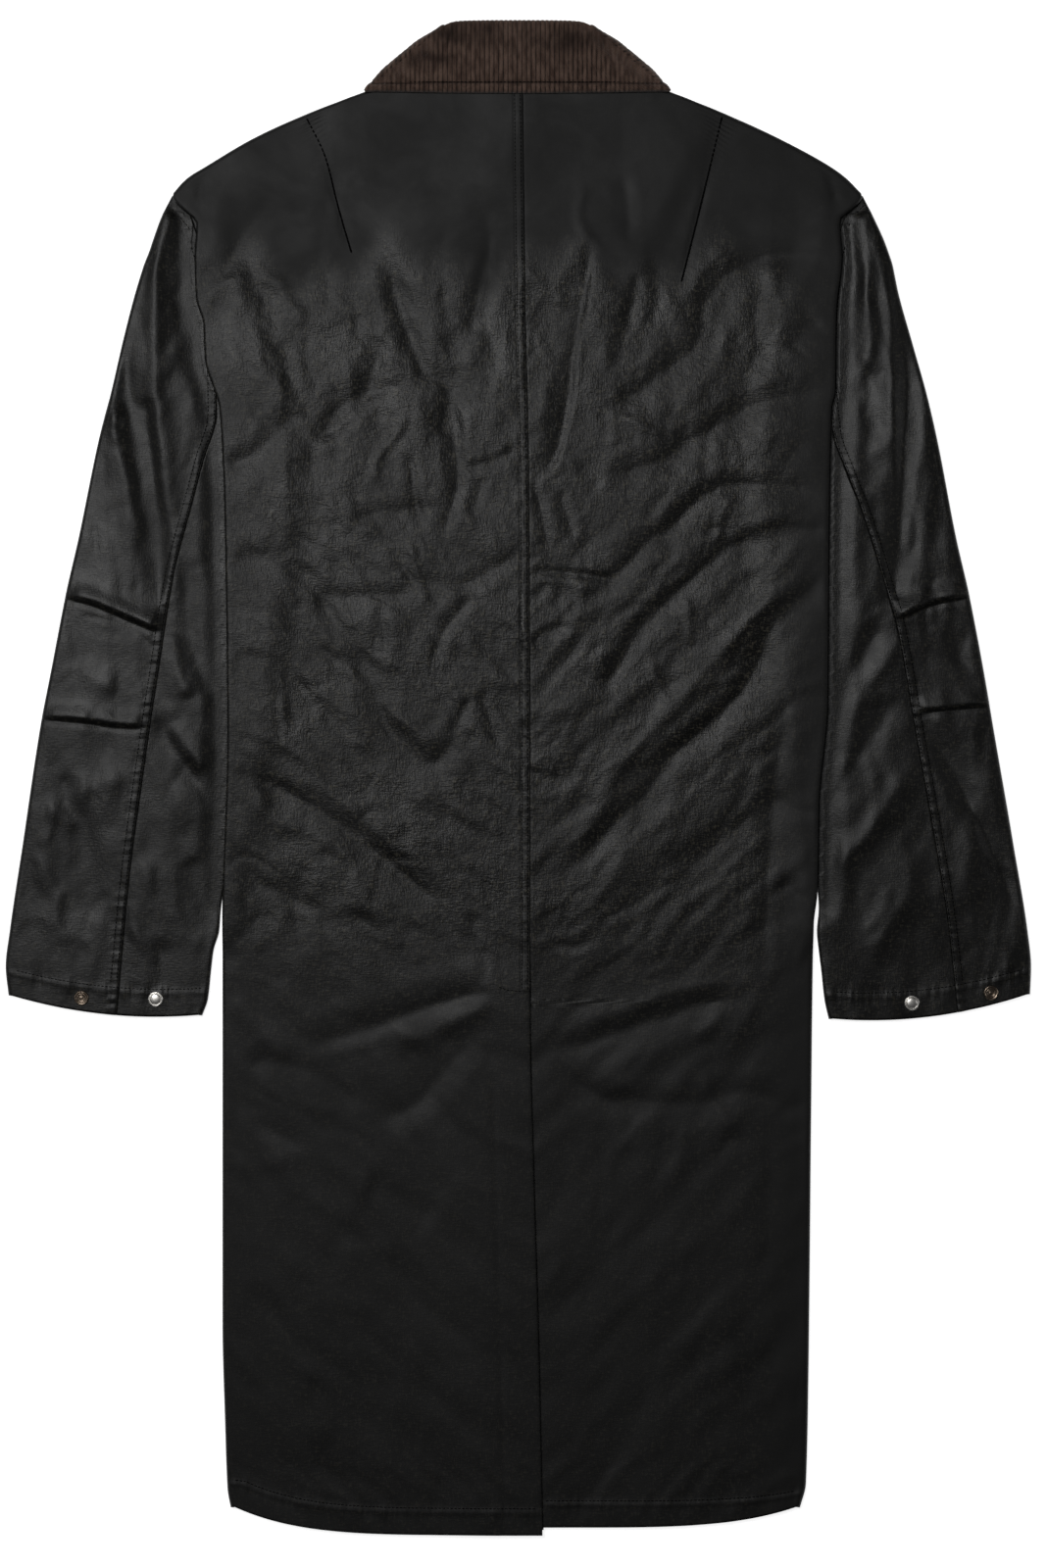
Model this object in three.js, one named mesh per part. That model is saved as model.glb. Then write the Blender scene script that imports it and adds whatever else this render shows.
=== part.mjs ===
// Knee-length waxed cotton coat with a corduroy collar, laid flat on its front with its back up.
// Millimetres. +Z is up from the surface it lies on, +Y points to the collar, and the wearer's
// left is at -X. Every cloth piece is a closed wall round a middle surface.
import * as THREE from 'three';

// Walls and layers
const WALL = 1.6;
const CORDUROY_WALL = 2.0;
const SEAM_GAP = 0.3;
const FOLD_SEAM_GAP = 0.4;
const FLOOR_LAYER = WALL / 2;
const BACK_LEVEL = 6.4;
const SLEEVE_LEVEL = 5.8;
const TUCKED_SLEEVE_LEVEL = 3.0;
const TROUGH_CLEARANCE = 0.8;
const LEAST_ROOM = 0.05;
const EDGE_FADE = 14;
const ROLL_PROBE = 3.5;
const FOLD_FADE = 0.2;

// How far the body rises over what lies under it, and how wide the slopes are
const FRONT_OVER_SLEEVE = 4.2;
const BACK_OVER_SLEEVE = 2.0;
const FRONT_OVER_WING = 3.2;
const BACK_OVER_WING = 1.6;
const FRONT_OVER_FRONT = 2.0;
const RAMP = 24;
const SLEEVE_MARGIN = 4;
const WING_MARGIN = 27;
const LAP_MARGIN = 2;
const BODY_OVER_SLEEVE = { top: 438, topEase: 34, end: -116, endEase: 30 };

// Sleeves: low where the body covers them, swelling to their full height outside it
const SLEEVE_UNDER_BODY = { top: 432, topEase: 12, end: -104, endEase: 16 };
const SLEEVE_EMERGES = 8;
const SLEEVE_SWELL = 15;
const SLEEVE_DEEPEST = -2.6;

// Where a row of a sleeve meets its seams, as shares of the way from its outer end to its inner
// end: the back seam on the upper layer, measured in height, and the front seam on the lower one
const SLEEVE_SEAM_ROW = 0.6;
const SLEEVE_FRONT_SEAM = 0.8;

// Centre front lap and centre back vent
const FRONT_LAP = 20;
const VENT_TOP = -172;
const VENT_CORNER = -180;
const UNDERLAP_X = -19;
const FLAP_RISE = 1.2;
const UNDERLAP_DROP = 1.0;
const VENT_EASE = 40;
const FLAP_WIDTH = 36;
const FLAP_EASE = 60;

// Neck and hem heights at the centre lines and at the side folds
const NECK_BACK_Y = 557;
const NECK_FRONT_Y = 483;
const NECK_SIDE_Y = 550;
const NECK_EASE_Y = 200;
const HEM_SIDE_Y = -581;
const HEM_EASE = 90;
const FRONT_HEM_SHORTER = 3;
const HEM_CENTRE_LEFT = -603.4;
const HEM_CENTRE_RIGHT = -597.6;
const HEM_BEND = 5;
const NECK_BEND = 2;

// Collar: the fall lies outside the stand round a flattened loop
const COLLAR_CORE_Z = 6.0;
const FALL_RADIUS = 5.0;
const STAND_RADIUS = 2.0;
const ROLL_RADIUS = (FALL_RADIUS - STAND_RADIUS) / 2;
const ROLL_CENTRE = (FALL_RADIUS + STAND_RADIUS) / 2;
const COLLAR_MIDDLE_X = -1;
const ROLL_GAP = 1.5;

// The left wing's outer edge and its neck edge, as lines on the surface
const WING_OUTER = [[66, 424], [125, 548]];
const WING_NECK = [[4, 516], [64, 420]];

// Grid sizes: rows are close together along the shoulder, at the sleeve head, at the vent and
// at the hem, and evenly spaced between
const BACK_COLUMNS = 11;
const EDGE_STEPS = 4;
const SHOULDER_ROWS = [
  550, 545, 537, 528, 518, 508, 497, 487, 479, 471, 463, 456, 449, 442, 434, 424, 410,
];
const HEM_ROWS = [HEM_SIDE_Y + 19, HEM_SIDE_Y + 7, HEM_SIDE_Y];
const ROW_STEP = 36;
const SLEEVE_HEAD_ROWS = [463, 455, 448, 441, 433, 424, 412, 394];
const SLEEVE_ROW_STEP = 28;
const TOP_SLEEVE_COLUMNS = { upper: 6, roll: 3, lower: 2 };
const UNDER_SLEEVE_COLUMNS = { upper: 4, roll: 3, lower: 1 };
const FALL_COLUMNS = 5;
const STAND_COLUMNS = 2;
const FOLD_STEPS = 5;

// Snap fasteners
const SNAP_RADIUS = 6;
const SNAP_SEGMENTS = 16;

// Turns rows of numbers into rows with named columns.
function table(columns, rows) {
  const names = columns.split(' ');
  return rows.map((row) => Object.fromEntries(names.map((name, k) => [name, row[k]])));
}

// Side fold of the body, from the neck along the shoulder, round the end of the armhole seam
// and down to the hem
const BODY_EDGE = {
  left: table('y x', [
    [550, -112], [545, -127], [537, -148], [530, -167], [510, -211], [487, -250], [479, -263],
    [471, -271], [463, -276], [453, -268], [442, -256.5], [415, -258], [383, -257],
    [361, -251], [335, -250], [292, -238], [200, -234], [28, -232], [-115, -236], [-434, -236],
    [-512, -234], [-566, -232], [-583, -229],
  ]),
  right: table('y x', [
    [550, 109], [545, 125], [537, 145], [530, 163], [510, 207], [487, 249], [479, 260],
    [471, 268], [463, 274], [453, 266], [444, 255.5], [415, 257.5], [372, 253], [308, 252],
    [294, 249], [198, 247], [60, 246], [-22, 239], [-90, 238], [-117, 235], [-278, 233],
    [-473, 231], [-562, 229], [-582, 224],
  ]),
};

// Outer fold of each sleeve
const SLEEVE_OUTER = {
  left: table('y x', [
    [463, -277.5], [448, -285], [417, -296], [385, -306], [346, -316], [307, -325], [268, -335],
    [190, -351], [151, -360], [89, -372], [42, -381], [-51, -395], [-122, -405.6], [-150, -408.8],
    [-173, -406.5],
  ]),
  right: table('y x', [
    [463, 275.5], [448, 283], [417, 296], [385, 303], [346, 314], [307, 325], [268, 334],
    [190, 349], [151, 358], [89, 370], [42, 378], [-51, 394], [-122, 405.6], [-150, 408.4],
    [-172, 407.6],
  ]),
};

// Inner fold of each sleeve, which runs under the body from the armhole to about the wrist
const SLEEVE_INNER = {
  left: table('y x', [
    [442, -257.6], [425, -259], [410, -242], [383, -227], [335, -212], [292, -196],
    [245, -191], [200, -192], [117, -203], [28, -214], [-44, -225], [-104, -237.2],
    [-122, -238.6], [-137, -243], [-153, -245], [-176, -247.5], [-189, -252],
  ]),
  right: table('y x', [
    [444, 258.2], [425, 259.4], [410, 242], [383, 227], [335, 213], [292, 207], [245, 203],
    [200, 204], [117, 215], [28, 227], [-44, 231], [-104, 239.2], [-122, 237.6], [-137, 239],
    [-153, 241], [-176, 243.5], [-192, 247],
  ]),
};

// Double-stitched back seam of each sleeve
const SLEEVE_SEAM = {
  left: table('y x', [
    [460, -268], [436, -267], [410, -251], [335, -242], [291, -241], [254, -251], [205, -264],
    [162, -275], [93, -286], [-2, -300], [-77, -310], [-190, -321],
  ]),
  right: table('y x', [
    [460, 267], [436, 267], [410, 251], [335, 246], [278, 250], [245, 261], [214, 273],
    [177, 285], [117, 302], [49, 314], [-30, 328], [-117, 342], [-190, 350],
  ]),
};

// Height of the inner end of a sleeve row for the height of its outer end
const SLEEVE_ROW_ENDS = {
  left: table('y inner bow', [
    [463, 442, 0], [448, 430, 0], [425, 412, 0], [385, 378, 0], [320, 318, 0], [250, 250, 0],
    [-80, -80, 0], [-130, -135, -2], [-173, -189, -7],
  ]),
  right: table('y inner bow', [
    [463, 444, 0], [448, 430, 0], [425, 414, 0], [385, 380, 0], [320, 318, 0], [250, 250, 0],
    [-80, -82, 0], [-130, -140, -2], [-172, -192, -8],
  ]),
};

// Centre-back seam, and below the vent top the edge of the left flap
const CENTRE_BACK = table('y x', [
  [557, 3], [385, 5], [229, 8], [-5, 9], [-184, 9], [-317, 12], [-457, 16], [-603, 19],
]);

// Folds: ridge height (a trough is negative), half width, then the points they run through
const BACK_FOLDS = table('height width points', [
  [-3.0, 15, [[-107, 431], [-95, 375], [-76, 324], [-56, 310], [-65, 254]]],
  [-2.0, 12, [[-20, 431], [-34, 381]]],
  [-2.2, 14, [[-187, 460], [-219, 428], [-241, 388]]],
  [2.2, 14, [[-239, 392], [-216, 398], [-179, 392]]],
  [-3.0, 18, [[-232, 254], [-193, 274], [-170, 300]]],
  [-2.8, 16, [[-157, 264], [-147, 290], [-100, 313]]],
  [-3.0, 17, [[-230, 173], [-199, 176], [-174, 161], [-143, 122]]],
  [-3.2, 17, [[-174, 105], [-118, 77], [-87, 19], [-67, 12], [-39, 47]]],
  [2.6, 17, [[-216, 41], [-174, 19], [-151, -9], [-115, -40]]],
  [-3.4, 18, [[-230, 7], [-165, -23], [-109, -63], [-51, -100]]],
  [-2.4, 18, [[-225, -49], [-205, -83], [-143, -105]]],
  [-3.2, 18, [[-20, -168], [-62, -180], [-118, -198], [-176, -213]]],
  [2.8, 16, [[-24, -184], [-62, -204], [-100, -222]]],
  [-3.0, 18, [[-36, -205], [-62, -237], [-112, -271]]],
  [-2.8, 15, [[-215, -232], [-196, -224], [-149, -244], [-129, -271]]],
  [-2.4, 16, [[-228, -268], [-206, -277], [-172, -294]]],
  [-3.2, 12, [[57, 424], [54, 390], [40, 299], [20, 242]]],
  [-3.4, 19, [[244, 410], [192, 413], [164, 399], [144, 350], [112, 321], [67, 290]]],
  [-3.4, 19, [[240, 307], [186, 296], [135, 268], [64, 240]]],
  [-3.4, 18, [[236, 226], [164, 233], [121, 200], [58, 133]]],
  [-3.4, 17, [[232, 195], [169, 184], [115, 138], [67, 65]]],
  [3.2, 18, [[215, 165], [152, 100], [110, 55], [70, 0]]],
  [-3.6, 19, [[240, 160], [198, 104], [152, 44], [101, -12], [27, -86]]],
  [-2.6, 18, [[236, -1], [186, -30], [121, -75]]],
  [-3.4, 18, [[180, -176], [117, -190], [84, -200], [24, -218]]],
  [-2.8, 15, [[26, -224], [58, -250], [90, -268]]],
  [-3.2, 17, [[101, -254], [151, -257], [184, -250], [230, -268]]],
  [2.4, 16, [[147, -225], [154, -257], [177, -284]]],
]);

const SLEEVE_FOLDS = {
  left: table('height width points', [
    [3.6, 13, [[-289, 420], [-289, 335], [-284, 262], [-276, 190]]],
    [-4.0, 9, [[-304, 330], [-297, 270], [-289, 190], [-286, 124]]],
    [3.0, 12, [[-324, 300], [-312, 240], [-300, 180]]],
    [3.0, 15, [[-352, 170], [-322, 146], [-292, 130]]],
    [-2.8, 13, [[-262, 160], [-264, 128], [-246, 84]]],
    [3.2, 14, [[-372, 62], [-335, 56], [-303, 54]]],
    [-2.6, 13, [[-289, 40], [-262, 0], [-246, -27]]],
    [2.4, 18, [[-380, -50], [-345, -22], [-315, -4]]],
    [-2.6, 14, [[-262, -62], [-255, -92], [-248, -118]]],
  ]),
  right: table('height width points', [
    [3.4, 12, [[275, 400], [281, 350], [276, 310]]],
    [3.8, 13, [[291, 420], [297, 321], [301, 235], [300, 190]]],
    [-4.0, 9, [[309, 330], [307, 264], [302, 190], [300, 140]]],
    [3.0, 14, [[306, 142], [330, 152], [354, 156]]],
    [-3.0, 12, [[290, 120], [271, 93], [256, 62]]],
    [3.2, 14, [[316, 66], [345, 72], [374, 72]]],
    [-2.8, 13, [[300, 62], [283, 36], [254, -8]]],
    [-3.0, 11, [[327, 36], [349, -1], [374, -52], [396, -104]]],
    [2.6, 14, [[310, 8], [280, -44], [256, -82]]],
  ]),
};

// Half of the collar, round the loop from centre back to centre front. turn is 0 on the upper
// layer and 180 on the lower one; the side fold lies between its two rows.
const COLLAR_SECTIONS = table('turn rollX rollY edgeX edgeY neckX neckY', [
  [0, 0, 600.4, 0, 545.2, 0, 558.6],
  [0, -27, 600.4, -44, 545.2, -42, 558.2],
  [0, -46, 599.8, -86, 545.4, -80, 557.0],
  [0, -58.5, 596.6, -121.1, 543.4, -110.5, 552.4],
  [180, -58.5, 596.6, -121.1, 543.4, -110.5, 552.4],
  [180, -50, 586, -110, 517, -100, 542],
  [180, -38, 567, -97, 485, -80, 526.5],
  [180, -26, 548, -83, 453, -55, 511],
  [180, -14, 530, -70, 425, -29, 498.5],
  [180, -4, 516, -61, 421, -4, 491],
]);
const FOLD_ROW = 3;

// Snap fasteners on the cuffs, with their height profiles as radius and height pairs
const SNAPS = table('name x y kind', [
  ['snap_socket_left', -348, -175, 'socket'],
  ['snap_stud_left', -289, -176, 'stud'],
  ['snap_stud_right', 313, -179, 'stud'],
  ['snap_socket_right', 376, -171, 'socket'],
]);
const SNAP_PROFILES = {
  socket: [[0, 0], [5.4, 0], [6, 0.5], [5.7, 1.2], [4.9, 1.6], [4.1, 1.4], [3.6, 0.7], [0, 0.6]],
  stud: [[0, 0], [5.4, 0], [6, 0.5], [5.7, 1.0], [4.8, 1.1], [4.6, 2.0], [4.0, 2.5], [0, 2.6]],
};

const waxedCotton = new THREE.MeshStandardMaterial({ color: 0x252524, roughness: 0.5, metalness: 0 });
const corduroy = new THREE.MeshStandardMaterial({ color: 0x3d2b21, roughness: 0.9, metalness: 0 });
const nickel = new THREE.MeshStandardMaterial({ color: 0xc9c2b6, roughness: 0.3, metalness: 1 });

const clamp01 = (t) => Math.min(1, Math.max(0, t));
const smooth = (t) => clamp01(t) ** 2 * (3 - 2 * clamp01(t));
const mix = (a, b, t) => a + (b - a) * t;

// A smooth curve through a table whose y column runs downwards, without overshoot.
function valueAt(rows, column, y) {
  const last = rows.length - 1;
  let k = 0;
  while (k < last - 1 && rows[k + 1].y > y) k += 1;
  const slope = (n) => (rows[n + 1][column] - rows[n][column]) / (rows[n + 1].y - rows[n].y);
  const tangent = (n) => {
    if (n === 0) return slope(0);
    if (n === last) return slope(last - 1);
    const before = slope(n - 1);
    const after = slope(n);
    return before * after <= 0 ? 0 : (2 * before * after) / (before + after);
  };
  const span = rows[k + 1].y - rows[k].y;
  const t = clamp01((y - rows[k].y) / span);
  const start = rows[k][column];
  const end = rows[k + 1][column];
  const bend = t * (1 - t) * span;
  return mix(start, end, t * t * (3 - 2 * t)) + bend * ((1 - t) * tangent(k) - t * tangent(k + 1));
}

// Distance from a point to a polyline, and how far along the polyline the nearest point is.
function nearest(points, x, y) {
  let best = { distance: Infinity, along: 0 };
  for (let k = 0; k < points.length - 1; k += 1) {
    const [ax, ay] = points[k];
    const dx = points[k + 1][0] - ax;
    const dy = points[k + 1][1] - ay;
    const t = clamp01(((x - ax) * dx + (y - ay) * dy) / (dx * dx + dy * dy));
    const distance = Math.hypot(x - ax - t * dx, y - ay - t * dy);
    if (distance < best.distance) best = { distance, along: (k + t) / (points.length - 1) };
  }
  return best;
}

// Height that the folds of a list add at a point.
function foldHeight(folds, x, y) {
  let height = 0;
  for (const fold of folds) {
    const { distance, along } = nearest(fold.points, x, y);
    const fade = smooth(along / FOLD_FADE) * smooth((1 - along) / FOLD_FADE);
    height += fold.height * fade * Math.exp(-((distance / fold.width) ** 2));
  }
  return height;
}

// Distance of a point beyond the line from a to b, on its right-hand side.
function beyondLine(x, y, [a, b]) {
  const dx = b[0] - a[0];
  const dy = b[1] - a[1];
  return ((x - a[0]) * dy - (y - a[1]) * dx) / Math.hypot(dx, dy);
}

// 1 between the top and the end of a zone down the body, easing to 0 outside it.
function within(zone, y) {
  return smooth((zone.top + zone.topEase - y) / zone.topEase)
    * smooth((y - zone.end + zone.endEase) / zone.endEase);
}

const edgeAt = (side, y) => Math.abs(valueAt(BODY_EDGE[side], 'x', y));

// Width of sleeve that runs under the body.
function tuckAt(side, y) {
  return Math.max(0, edgeAt(side, y) - Math.abs(valueAt(SLEEVE_INNER[side], 'x', y)));
}

// How much of the body's rise over a sleeve is reached at a point: 1 over the sleeve, 0 clear of it.
function overSleeve(side, x, y) {
  const beyondTuck = edgeAt(side, y) - Math.abs(x) - tuckAt(side, y);
  return within(BODY_OVER_SLEEVE, y) * (1 - smooth((beyondTuck - SLEEVE_MARGIN) / RAMP));
}

// The same over the collar's wings, which lie on the surface under the fronts.
function overWing(x, y) {
  const fromCentre = Math.max(Math.abs(x), 2 * FRONT_LAP);
  const beyond = Math.max(beyondLine(fromCentre, y, WING_OUTER), beyondLine(fromCentre, y, WING_NECK));
  return 1 - smooth((beyond - WING_MARGIN) / RAMP);
}

const sideOf = (x) => (x < 0 ? 'left' : 'right');

// Middle heights of the front layers
function frontLevel(x, y) {
  const rise = Math.max(
    FRONT_OVER_SLEEVE * overSleeve(sideOf(x), x, y),
    FRONT_OVER_WING * overWing(x, y),
  );
  return FLOOR_LAYER + rise;
}

const lapRise = (x) => FRONT_OVER_FRONT * (1 - smooth((x - FRONT_LAP - LAP_MARGIN) / RAMP));

function frontRightLevel(x, y) {
  return frontLevel(x, y) + lapRise(x);
}

// Middle height of the back: it rises over the sleeves and the collar, and its troughs stay
// clear of the fronts below. flap is +1 on the left back, -1 on the right back.
function backLevel(x, y, flap) {
  const side = sideOf(x);
  const base = BACK_LEVEL + Math.max(
    BACK_OVER_SLEEVE * overSleeve(side, x, y),
    BACK_OVER_WING * overWing(x, y),
  );
  const centre = valueAt(CENTRE_BACK, 'x', y);
  const besideVent = 1 - smooth((Math.abs(x - centre) - FLAP_WIDTH) / FLAP_EASE);
  const nearVent = smooth((VENT_TOP + VENT_EASE - y) / VENT_EASE) * besideVent;
  const vent = nearVent * (flap > 0 ? FLAP_RISE : -UNDERLAP_DROP);
  const below = frontLevel(x, y) + (x > -FRONT_LAP - LAP_MARGIN ? lapRise(x) : 0);
  const room = Math.max(LEAST_ROOM, base + Math.min(0, vent) - below - WALL - TROUGH_CLEARANCE);
  const fade = smooth((edgeAt(side, y) - Math.abs(x)) / EDGE_FADE);
  const fold = foldHeight(BACK_FOLDS, x, y) * fade;
  return base + vent + (fold < 0 ? -room * Math.tanh(-fold / room) : fold);
}

// Middle height of a sleeve's upper layer: low where it runs under the body, full outside it.
function sleeveLevel(side, x, y) {
  const outside = Math.abs(x) - edgeAt(side, y);
  const open = mix(1, smooth((outside - SLEEVE_EMERGES) / SLEEVE_SWELL), within(SLEEVE_UNDER_BODY, y));
  const outer = Math.abs(valueAt(SLEEVE_OUTER[side], 'x', y)) - Math.abs(x);
  const fold = foldHeight(SLEEVE_FOLDS[side], x, y) * open * smooth(outer / EDGE_FADE);
  return mix(TUCKED_SLEEVE_LEVEL, SLEEVE_LEVEL, open) + Math.max(SLEEVE_DEEPEST, fold);
}

// Direction of a line of grid points at point n: between its neighbours, and at an end along
// the curve through the last three points.
function directionAt(pointAt, n, last) {
  if (n > 0 && n < last) return pointAt(n + 1).clone().sub(pointAt(n - 1));
  const sign = n === 0 ? 1 : -1;
  const end = pointAt(n).clone().multiplyScalar(-3);
  const next = pointAt(n + sign).clone().multiplyScalar(4);
  return end.add(next).sub(pointAt(n + 2 * sign)).multiplyScalar(sign);
}

// Closed wall of the given thickness round a grid of middle points, rows of equal length.
function closedWall(grid, thickness) {
  const rows = grid.length;
  const columns = grid[0].length;
  const positions = [];
  for (const half of [thickness / 2, -thickness / 2]) {
    for (let j = 0; j < rows; j += 1) {
      for (let i = 0; i < columns; i += 1) {
        const along = directionAt((n) => grid[n][i], j, rows - 1);
        const across = directionAt((n) => grid[j][n], i, columns - 1);
        const point = along.cross(across).normalize().multiplyScalar(half).add(grid[j][i]);
        positions.push(point.x, point.y, point.z);
      }
    }
  }
  const index = [];
  const quad = (a, b, c, d) => index.push(a, b, c, a, c, d);
  const at = (layer, j, i) => layer * rows * columns + j * columns + i;
  for (let j = 0; j < rows - 1; j += 1) {
    for (let i = 0; i < columns - 1; i += 1) {
      quad(at(0, j, i), at(0, j + 1, i), at(0, j + 1, i + 1), at(0, j, i + 1));
      quad(at(1, j, i), at(1, j, i + 1), at(1, j + 1, i + 1), at(1, j + 1, i));
    }
    quad(at(0, j, 0), at(1, j, 0), at(1, j + 1, 0), at(0, j + 1, 0));
    const end = columns - 1;
    quad(at(0, j, end), at(0, j + 1, end), at(1, j + 1, end), at(1, j, end));
  }
  for (let i = 0; i < columns - 1; i += 1) {
    quad(at(0, 0, i), at(0, 0, i + 1), at(1, 0, i + 1), at(1, 0, i));
    const end = rows - 1;
    quad(at(0, end, i), at(1, end, i), at(1, end, i + 1), at(0, end, i + 1));
  }
  return facingOut(positions, index);
}

// Geometry whose faces point out, whichever way its grid was wound.
function facingOut(positions, index) {
  let volume = 0;
  const corner = (k) => new THREE.Vector3().fromArray(positions, 3 * index[k]);
  for (let k = 0; k < index.length; k += 3) {
    volume += corner(k).dot(corner(k + 1).cross(corner(k + 2)));
  }
  if (volume < 0) index.reverse();
  const geometry = new THREE.BufferGeometry();
  geometry.setAttribute('position', new THREE.Float32BufferAttribute(positions, 3));
  geometry.setIndex(index);
  return geometry;
}

// Evenly spaced heights between two rows, without either.
function evenRows(from, to, step) {
  const count = Math.round((from - to) / step);
  return Array.from({ length: count - 1 }, (_, k) => mix(from, to, (k + 1) / count));
}

// Heights of the body's rows at the side fold, from the neck down.
function bodyRows() {
  const upper = evenRows(SHOULDER_ROWS.at(-1), VENT_TOP, ROW_STEP);
  const skirt = evenRows(VENT_CORNER, HEM_ROWS[0], ROW_STEP);
  return [...SHOULDER_ROWS, ...upper, VENT_TOP, VENT_CORNER, ...skirt, ...HEM_ROWS];
}

// Inward direction, square to the side fold.
function inwardAt(side, y) {
  const step = 3;
  const rows = BODY_EDGE[side];
  const slope = (valueAt(rows, 'x', y + step) - valueAt(rows, 'x', y - step)) / (2 * step);
  const sign = side === 'left' ? 1 : -1;
  return new THREE.Vector3(sign, -sign * slope, 0).normalize();
}

// Height of a row at its centre end: the neck and the hem bow away from the row's outer end.
function centreHeight(y, neckY, hemY) {
  const neck = (neckY - NECK_SIDE_Y) * clamp01((y - NECK_EASE_Y) / (NECK_SIDE_Y - NECK_EASE_Y));
  const hem = (hemY - HEM_SIDE_Y) * smooth((HEM_SIDE_Y + HEM_EASE - y) / HEM_EASE);
  return y + neck + hem;
}

// The roll at the side fold for one row: its centre, radius and the point where the back meets it.
function sideRoll(side, y, flap) {
  const inward = inwardAt(side, y);
  const edge = new THREE.Vector3(valueAt(BODY_EDGE[side], 'x', y), y, 0);
  const probe = edge.clone().addScaledVector(inward, ROLL_PROBE);
  const top = backLevel(probe.x, probe.y, flap);
  const bottom = frontLevel(probe.x, probe.y);
  const radius = (top - bottom) / 2;
  const centre = edge.addScaledVector(inward, radius + WALL / 2);
  centre.z = (top + bottom) / 2;
  return { inward, centre, radius };
}

// One half of the back, from the centre-back edge over the panel and round the side fold.
function backPanel(side) {
  const flap = side === 'left' ? 1 : -1;
  const hemY = side === 'left' ? HEM_CENTRE_LEFT : HEM_CENTRE_RIGHT;
  const grid = bodyRows().map((y) => {
    const { inward, centre, radius } = sideRoll(side, y, flap);
    const centreY = centreHeight(y, NECK_BACK_Y, hemY);
    let centreX = valueAt(CENTRE_BACK, 'x', centreY) - flap * SEAM_GAP / 2;
    if (side === 'right' && y <= VENT_CORNER) centreX = UNDERLAP_X;
    const row = [];
    for (let i = 0; i < BACK_COLUMNS; i += 1) {
      const u = i / BACK_COLUMNS;
      const x = mix(centreX, centre.x, u);
      const py = mix(centre.y, centreY - y + centre.y, 1 - u ** HEM_BEND);
      row.push(new THREE.Vector3(x, py, backLevel(x, py, flap)));
    }
    for (let k = 0; k <= EDGE_STEPS; k += 1) {
      const angle = Math.PI * (0.5 - k / EDGE_STEPS);
      const point = centre.clone().addScaledVector(inward, -radius * Math.cos(angle));
      point.z += radius * Math.sin(angle);
      row.push(point);
    }
    return row;
  });
  return closedWall(grid, WALL);
}

// Places of a front's columns, from the centre out: close together where it climbs over the
// sleeve and, on the right, where it steps over the left front.
function frontColumns(side, y, startX) {
  const flap = side === 'left' ? 1 : -1;
  const top = tuckAt(side, y) + SLEEVE_MARGIN + LAP_MARGIN;
  const climb = [top + RAMP, top + RAMP / 2, top, 0].map((inset) => startX + flap * inset);
  const lapTop = FRONT_LAP + 2 * LAP_MARGIN;
  const step = side === 'left'
    ? [FRONT_LAP, -2 * FRONT_LAP]
    : [-FRONT_LAP, lapTop, lapTop + RAMP / 2, lapTop + RAMP];
  const middle = [0.3, 0.65].map((share) => mix(step[step.length - 1], climb[0], share));
  return [...step, ...middle, ...climb];
}

// One front, on the surface, from the end of the side fold to past the centre-front line.
function frontPanel(side) {
  const flap = side === 'left' ? 1 : -1;
  const level = side === 'left' ? frontLevel : frontRightLevel;
  const hemY = (side === 'left' ? HEM_CENTRE_LEFT : HEM_CENTRE_RIGHT) + FRONT_HEM_SHORTER;
  const grid = bodyRows().map((y) => {
    const { inward, centre } = sideRoll(side, y, flap);
    const start = centre.addScaledVector(inward, FOLD_SEAM_GAP);
    const centreY = centreHeight(y, NECK_FRONT_Y, hemY);
    return frontColumns(side, y, start.x).map((x) => {
      const u = (x - flap * FRONT_LAP) / (start.x - flap * FRONT_LAP);
      const py = mix(start.y, centreY - y + start.y, 1 - u ** NECK_BEND);
      return new THREE.Vector3(x, py, level(x, py));
    });
  });
  return closedWall(grid, WALL);
}

// One row of a sleeve: the ends and radii of its two side rolls, and points on both layers.
function sleeveSection(side, y) {
  const ends = SLEEVE_ROW_ENDS[side];
  const innerY = valueAt(ends, 'inner', y);
  const bow = valueAt(ends, 'bow', y);
  const outer = new THREE.Vector3(valueAt(SLEEVE_OUTER[side], 'x', y), y, 0);
  const inner = new THREE.Vector3(valueAt(SLEEVE_INNER[side], 'x', innerY), innerY, 0);
  const across = inner.clone().sub(outer).normalize();
  const rollAt = (edge, direction) => {
    const probe = edge.clone().addScaledVector(direction, ROLL_PROBE);
    const radius = (sleeveLevel(side, probe.x, probe.y) - FLOOR_LAYER) / 2;
    const centre = edge.clone().addScaledVector(direction, radius + WALL / 2);
    centre.z = FLOOR_LAYER + radius;
    return { centre, radius, direction };
  };
  const outerRoll = rollAt(outer, across);
  const innerRoll = rollAt(inner, across.clone().negate());
  const seamX = valueAt(SLEEVE_SEAM[side], 'x', mix(y, innerY, SLEEVE_SEAM_ROW));
  const seam = (seamX - outerRoll.centre.x) / (innerRoll.centre.x - outerRoll.centre.x);
  const width = outerRoll.centre.distanceTo(innerRoll.centre);
  const layerPoint = (w, upper) => {
    const point = outerRoll.centre.clone().lerp(innerRoll.centre, w);
    point.y += bow * 4 * w * (1 - w);
    point.z = upper ? sleeveLevel(side, point.x, point.y) : FLOOR_LAYER;
    return point;
  };
  return { outerRoll, innerRoll, seam, gap: SEAM_GAP / 2 / width, layerPoint };
}

// Points round a side roll, from the upper layer to the lower one.
function rollPoints({ centre, radius, direction }, steps) {
  const points = [];
  for (let k = 0; k <= steps; k += 1) {
    const angle = Math.PI * (0.5 - k / steps);
    const point = centre.clone().addScaledVector(direction, -radius * Math.cos(angle));
    point.z += radius * Math.sin(angle);
    points.push(point);
  }
  return points;
}

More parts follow.
